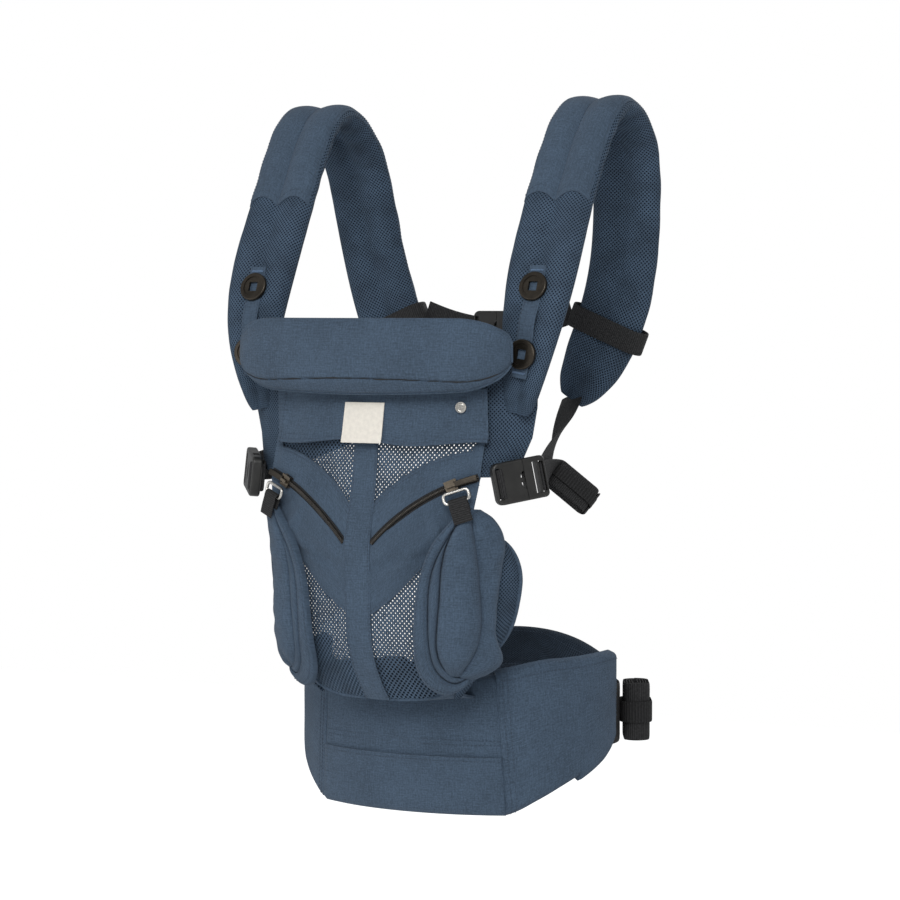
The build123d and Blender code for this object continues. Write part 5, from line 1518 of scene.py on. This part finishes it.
# how far the strip goes past the eyelets, stands off the strap's middle and sinks at an eyelet
STRIP_BEYOND, STRIP_RISE, STRIP_SINK = 19.0, 8.9, 0.9
# shares of the strip's width, and the rows of a tack along it
STRIP_SEAM, TACK_HALF, TACK_ROWS = 0.4, 0.36, (-0.5, 0.0, 0.5)


def strap_strips(centre, across, out):
    """Cotton strip under the two eyelets, with bar tacks above and below."""
    front = np.arange(STRAP_ROWS)[: STRAP_ROWS // 3]
    low, high = (int(front[np.argmin(np.abs(centre[front, 2] - z))]) for z in EYELET_Z)
    run = chord(centre)
    from_run, to_run = run[low] - STRIP_BEYOND, run[high] + STRIP_BEYOND
    lengths = np.linspace(from_run, to_run, 90)
    line = along_path(centre, lengths)
    sides = np.stack([np.interp(lengths, run, across[:, k]) for k in range(3)], -1)
    outs = np.stack([np.interp(lengths, run, out[:, k]) for k in range(3)], -1)
    gap = np.minimum(np.abs(lengths - run[low]), np.abs(lengths - run[high]))
    bow = STRIP_RISE - STRIP_SINK * step(gap, 26.0, 12.0)
    bow = bow + 0.7 * np.sin(lengths / 9.0) * step(gap, 12.0, 20.0)
    path = line + outs * bow[:, None]
    for side, name in SIDES:
        side_band("strap_strip_" + name, path, sides, side, STRIP_WIDTH, "carrier", "navy_cotton",
                  "strap_strips", finish="cotton", thickness=1.5)
    lines, tacks = [], []
    for side, _ in SIDES:
        for offset in (-STRIP_WIDTH * STRIP_SEAM, STRIP_WIDTH * STRIP_SEAM):
            at = path + sides * offset + outs * 0.85
            lines.append((mirrored(at, side), mirrored(outs, side)))
        for k in (4, -5):
            for step_out in TACK_ROWS:
                wide = np.linspace(-TACK_HALF, TACK_HALF, 30)[:, None] * STRIP_WIDTH
                at = path[k] + outs[k] + sides[k] * wide + np.gradient(path, axis=0)[k] * step_out
                tacks.append((mirrored(at, side), mirrored(np.broadcast_to(outs[k], at.shape), side)))
    stitches("strap_strip_stitches", lines)
    piece = beads("strap_bar_tacks", tacks, "pale_thread", 0.9 * MM, (0.8 * MM, 0.9 * MM, 0.7 * MM))
    dress(piece, "carrier")


# ---- side buckles' webbing -----------------------------------------------------------
def buckle_place():
    """Origin and axes of the right side buckle: along it, across it and out of it."""
    start, end = np.array(SIDE_BUCKLE_FROM), np.array(SIDE_BUCKLE_TO)
    along = unit(end - start)
    out = np.array(SIDE_BUCKLE_OUT)
    out = unit(out - along * (out @ along))
    origin = start - along * buckle_ends(SHOULDER_WEB)["female"] + out * SIDE_BUCKLE_STAND_OFF
    return origin, along, np.cross(out, along), out


def shoulder_webbing():
    origin, along, wide, out = buckle_place()
    ends = buckle_ends(SHOULDER_WEB)
    slot = ends["female"] + ends["wall"] + ends["slot"] / 2
    profile = [(slot + 20, -8.0), (slot + 12, -8.0), (slot + 4, -7.6), (slot - 1.0, -5.6), (slot - 1.2, -2.0),
               (slot - 0.6, 1.6), (slot + 0.4, 3.4), (slot + 4.4, 4.9)]
    bar = origin + along * (ends["male"] - ends["wall"] - ends["slot"] / 2)
    tip = strap_frames()[0][-1]
    run = unit(bar - tip)
    start, stop = tip - run * 12.0, bar + run * 3.0
    at = np.linspace(0, 1, 70)
    sag = 3.0 * np.sin(np.pi * at)
    path = start + (stop - start) * at[:, None] - np.array([0, 0, 1.0]) * sag[:, None]
    twist = step(at, 0.1, 0.95)[:, None]
    first = unit(np.array([1.0, 0, 0.4]) - run * (np.array([1.0, 0, 0.4]) @ run))
    last = unit(wide - run * (wide @ run))
    widths = unit(first * (1 - twist) + last * twist)

    length, thick = WEBBING_ROLL
    x_dir = unit((0.866 * 0.77, 0.5 * 0.77, -0.64))
    z_dir = unit(np.cross(x_dir, (-0.45, 0.72, -0.5)))
    y_dir = np.cross(z_dir, x_dir)
    flat = rolled_path(length, thick, 2.6, 2.3)
    roll = np.array(ROLL_CENTRE) + flat[:, :1] * x_dir + flat[:, 1:] * y_dir
    neck_to = origin + along * (ends["male"] - 3.0) + out * 1.5
    neck_from = np.array(ROLL_CENTRE) - x_dir * (length / 2 - 3)
    neck = smooth_path([neck_to, neck_to * 0.6 + neck_from * 0.4 + out * 1.5, neck_from], 30)
    neck_at = np.linspace(0, 1, 30)[:, None]
    neck_sides = unit(wide * (1 - neck_at) + z_dir * neck_at * (1 if wide @ z_dir > 0 else -1))
    band = rolled_path(length + 1.6, thick + 2.6, 1.0, 0.0)[:-1]
    elastic = np.array(ROLL_CENTRE) + band[:, :1] * x_dir + band[:, 1:] * y_dir
    tab = smooth_path([origin + along * a + out * b for a, b in profile], 60)
    for side, name in SIDES:
        body, slot, width = "side_buckle_" + name, "black_webbing", SHOULDER_WEB - 1
        side_band("side_buckle_web_" + name, tab, wide, side, width, "carrier", slot, "side_tabs")
        side_band("shoulder_web_" + name, path, widths, side, width - 1, "carrier", slot,
                  "strap_webbing_" + name)
        side_band("web_tail_roll_" + name, roll, z_dir, side, width, body, slot, "webbing_roll_" + name)
        side_band("web_tail_" + name, neck, neck_sides, side, width, body, slot)
        side_band("web_tail_elastic_" + name, elastic, z_dir, side, 10.0, body, slot,
                  finish="elastic", thickness=1.0, looped=True)


# ---- chest strap ---------------------------------------------------------------------
def chest_strap():
    centre, tangent, across, out, _, _ = strap_frames()
    back = np.arange(STRAP_ROWS)[int(STRAP_ROWS * 0.6):]
    k = int(back[np.argmin(np.abs(centre[back, 2] - CHEST_Z))])
    wide = STRAP_STATIONS[8][3] + 2 * CHEST_CLEARANCE
    deep = STRAP_STATIONS[8][4] + 2 * CHEST_CLEARANCE
    reach = wide + deep * 0.4
    flat = rolled_path(reach + 1.6 + WEB_THICKNESS, deep + 1.6 + WEB_THICKNESS, 1.0, 0.0)[:-1]
    loop = centre[k] + flat[:, :1] * across[k] + flat[:, 1:] * out[k]
    edge = centre[k] - across[k] * (reach / 2 + WEB_THICKNESS)
    ends = buckle_ends(CHEST_WEB)
    middle = np.array([0.0, edge[1], edge[2] - CHEST_SAG])
    for side, name in SIDES:
        side_band("chest_loop_web_" + name, loop, tangent[k], side, CHEST_WEB, "chest_loop_" + name,
                  "black_webbing", "chest_loop_" + name, looped=True)
        inner = ends["male"] - ends["wall"] if side > 0 else ends["female"] + ends["wall"]
        start, stop = mirrored(edge, side), middle + np.array([inner, 0, 0])
        at = np.linspace(0, 1, 40)[:, None]
        path = start + (stop - start) * at - np.array([0, 0, 1.6]) * np.sin(np.pi * at)
        piece = ribbon("chest_web_" + name, path, (0, 0, 1), CHEST_WEB, "webbing")
        if side > 0:
            slack_bridge(piece)
            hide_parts("chest_webbing_" + name)
        else:
            dress(piece, "chest_strap", ("chest_webbing_" + name,))


# ---- hardware kept from the solids ---------------------------------------------------
HARDWARE = {
    "plastic": ("chest_buckle_arms", "chest_buckle_female", "chest_buckle_male", "side_buckle_arms_left",
                "side_buckle_arms_right", "side_buckle_female_left", "side_buckle_female_right",
                "side_buckle_male_left", "side_buckle_male_right", "waist_buckle_arms",
                "waist_buckle_female", "waist_buckle_male"),
    "gunmetal": ("strap_eyelets",),
    "metal": ("loop_ring_left", "loop_ring_right", "front_snap"),
    "bronze": ("zip_slider_left", "zip_slider_right"),
}


def hardware():
    for finish, names in HARDWARE.items():
        for name in names:
            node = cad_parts[name]
            while len(node.material_slots) < 1:
                node.data.materials.append(None)
            for place in node.material_slots:
                place.link = "OBJECT"
                place.material = FINISHES[finish]


# ---- stage ---------------------------------------------------------------------------
def white_background(tree, shader_for_light, shader_out):
    """Camera, glossy and transmitted rays see plain white; other rays see the light."""
    path = tree.nodes.new("ShaderNodeLightPath")
    seen = tree.nodes.new("ShaderNodeMath")
    seen.operation = "MAXIMUM"
    tree.links.new(path.outputs["Is Camera Ray"], seen.inputs[0])
    tree.links.new(path.outputs["Is Transmission Ray"], seen.inputs[1])
    mix = tree.nodes.new("ShaderNodeMixShader")
    white = tree.nodes.new("ShaderNodeBackground")
    white.inputs["Color"].default_value = (1, 1, 1, 1)
    tree.links.new(seen.outputs[0], mix.inputs[0])
    tree.links.new(shader_for_light.outputs[0], mix.inputs[1])
    tree.links.new(white.outputs[0], mix.inputs[2])
    tree.links.new(mix.outputs[0], shader_out.inputs["Surface"])


def area_light(name, place, aim, size, power):
    light = bpy.data.lights.new(name, "AREA")
    light.shape, light.size, light.energy = "DISK", size, power
    lamp = bpy.data.objects.new(name, light)
    bpy.context.scene.collection.objects.link(lamp)
    lamp.location = place
    lamp.rotation_euler = (Vector(aim) - Vector(place)).to_track_quat("-Z", "Y").to_euler()


# metres and degrees
LENS, SENSOR_WIDTH = 128.74, 36.0
CAMERA_PLACE, CAMERA_TURN, CAMERA_DROP = (1.3875, -2.4285, 0.4339), 30.0, 2.7
CAMERA_NEAR, CAMERA_FAR = 0.1, 30.0
FLOOR_REACH, FLOOR_LEVEL = 4.0, -0.5
LAMPS = [
    ("key", (1.2, -2.7, 1.9), (0.0, -0.05, 0.25), 1.6, 60.0),
    ("fill", (-2.0, -2.2, 0.5), (0.0, 0.0, 0.2), 1.8, 16.0),
    ("back", (0.4, 2.6, 1.8), (0.0, 0.0, 0.3), 1.6, 30.0),
]


def stage():
    scene = bpy.context.scene
    camera_data = bpy.data.cameras.new("camera")
    camera_data.lens, camera_data.sensor_width = LENS, SENSOR_WIDTH
    camera = bpy.data.objects.new("camera", camera_data)
    scene.collection.objects.link(camera)
    scene.camera = camera
    azimuth, drop = math.radians(CAMERA_TURN), math.radians(CAMERA_DROP)
    look = Vector((-math.sin(azimuth) * math.cos(drop), math.cos(azimuth) * math.cos(drop), -math.sin(drop)))
    camera.location = CAMERA_PLACE
    camera.rotation_euler = look.to_track_quat("-Z", "Y").to_euler()
    camera_data.clip_start, camera_data.clip_end = CAMERA_NEAR, CAMERA_FAR

    world = bpy.data.worlds.new("studio")
    scene.world = world
    world.use_nodes = True
    tree = world.node_tree
    tree.nodes.clear()
    ambient = tree.nodes.new("ShaderNodeBackground")
    ambient.inputs["Color"].default_value = (0.96, 0.98, 1.0, 1)
    ambient.inputs["Strength"].default_value = 0.5
    white_background(tree, ambient, tree.nodes.new("ShaderNodeOutputWorld"))

    for lamp in LAMPS:
        area_light(*lamp)

    floor_mesh = bpy.data.meshes.new("floor")
    reach, level = FLOOR_REACH, FLOOR_LEVEL
    corners = [(x, y, level) for x, y in ((-reach, -reach), (reach, -reach), (reach, reach), (-reach, reach))]
    floor_mesh.from_pydata(corners, [], [(0, 1, 2, 3)])
    floor = bpy.data.objects.new("floor", floor_mesh)
    scene.collection.objects.link(floor)
    finish = Finish("floor")
    x, y, _ = finish.object_place()
    faint = finish.noise(x * 3.0, y * 3.0)
    base = finish.mix([0.93, 0.93, 0.93, 1], [0.96, 0.96, 0.96, 1], faint)
    seen = finish.value("ShaderNodeLightPath", {}, {}, output="Is Camera Ray")
    glow = finish.value("ShaderNodeCombineColor", {}, {0: seen * 0.55, 1: seen * 0.55, 2: seen * 0.55})
    finish.close(Base_Color=base, Roughness=0.9, Emission_Color=glow, Emission_Strength=1.0)
    floor_mesh.materials.append(finish.material)
    scene.view_settings.view_transform = "Standard"


# ---- the add-on ----------------------------------------------------------------------
def operator(name, label, text, *makers):
    """An operator class that runs the makers of one group of pieces."""

    def execute(self, context):
        if not FINISHES:
            make_finishes()
        for maker in makers:
            maker()
        return {"FINISHED"}

    body = {"bl_idname": "carrier." + name, "bl_label": label, "__doc__": text, "execute": execute}
    return type("CARRIER_OT_" + name, (bpy.types.Operator,), body)


OPERATORS = [
    operator("stage", "Stage", "Camera, plain light and pale floor", stage),
    operator("waistband", "Waistband", "Padded front, wings and pocket of the waistband",
             waistband_front, waistband_wings),
    operator("belt", "Waist belt", "Belt webbing and its spare roll", belt),
    operator("lumbar", "Lumbar pad", "Cushion and sleeves on the belt", lumbar),
    operator("body", "Body panel", "Strip, windows, bands and lower cloth of the body", body_panels),
    operator("zips", "Zips", "Zip tapes, coils and pullers", zips),
    operator("seat_wings", "Seat wings", "Quilted wings, side mesh and ring tabs",
             seat_wings, side_panels, ring_tabs),
    operator("yoke", "Yoke", "Yoke, its flap, the bare label and the gussets", yoke, gussets),
    operator("head_support", "Head support", "Pillow that folds over the yoke", head_support),
    operator("straps", "Shoulder straps", "Quilted straps with cotton covers and strips", straps),
    operator("webbing", "Shoulder webbing", "Tabs, webbing and spare rolls at the side buckles",
             shoulder_webbing),
    operator("chest", "Chest strap", "Sliding loops and webbing between the straps", chest_strap),
    operator("hardware", "Hardware", "Finishes of buckles, eyelets, rings and sliders", hardware),
]


class CARRIER_PT_panel(bpy.types.Panel):
    """Lists the carrier's settings and the steps that make it."""

    bl_label, bl_idname = "Soft Baby Carrier", "CARRIER_PT_panel"
    bl_space_type, bl_region_type, bl_category = "VIEW_3D", "UI", "Carrier"

    def draw(self, context):
        for group in (context.scene.carrier_sizes, context.scene.carrier_colours):
            for key in group.__annotations__:
                self.layout.prop(group, key)
        for made in OPERATORS:
            self.layout.operator(made.bl_idname)


CLASSES = [CarrierSizes, CarrierColours, *OPERATORS, CARRIER_PT_panel]


def register():
    for made in CLASSES:
        bpy.utils.register_class(made)
    bpy.types.Scene.carrier_sizes = bpy.props.PointerProperty(type=CarrierSizes)
    bpy.types.Scene.carrier_colours = bpy.props.PointerProperty(type=CarrierColours)


def unregister():
    del bpy.types.Scene.carrier_sizes, bpy.types.Scene.carrier_colours
    for made in reversed(CLASSES):
        bpy.utils.unregister_class(made)


def main():
    register()
    for made in OPERATORS:
        getattr(bpy.ops.carrier, made.bl_idname.split(".")[1])()


if __name__ == "__main__":
    main()
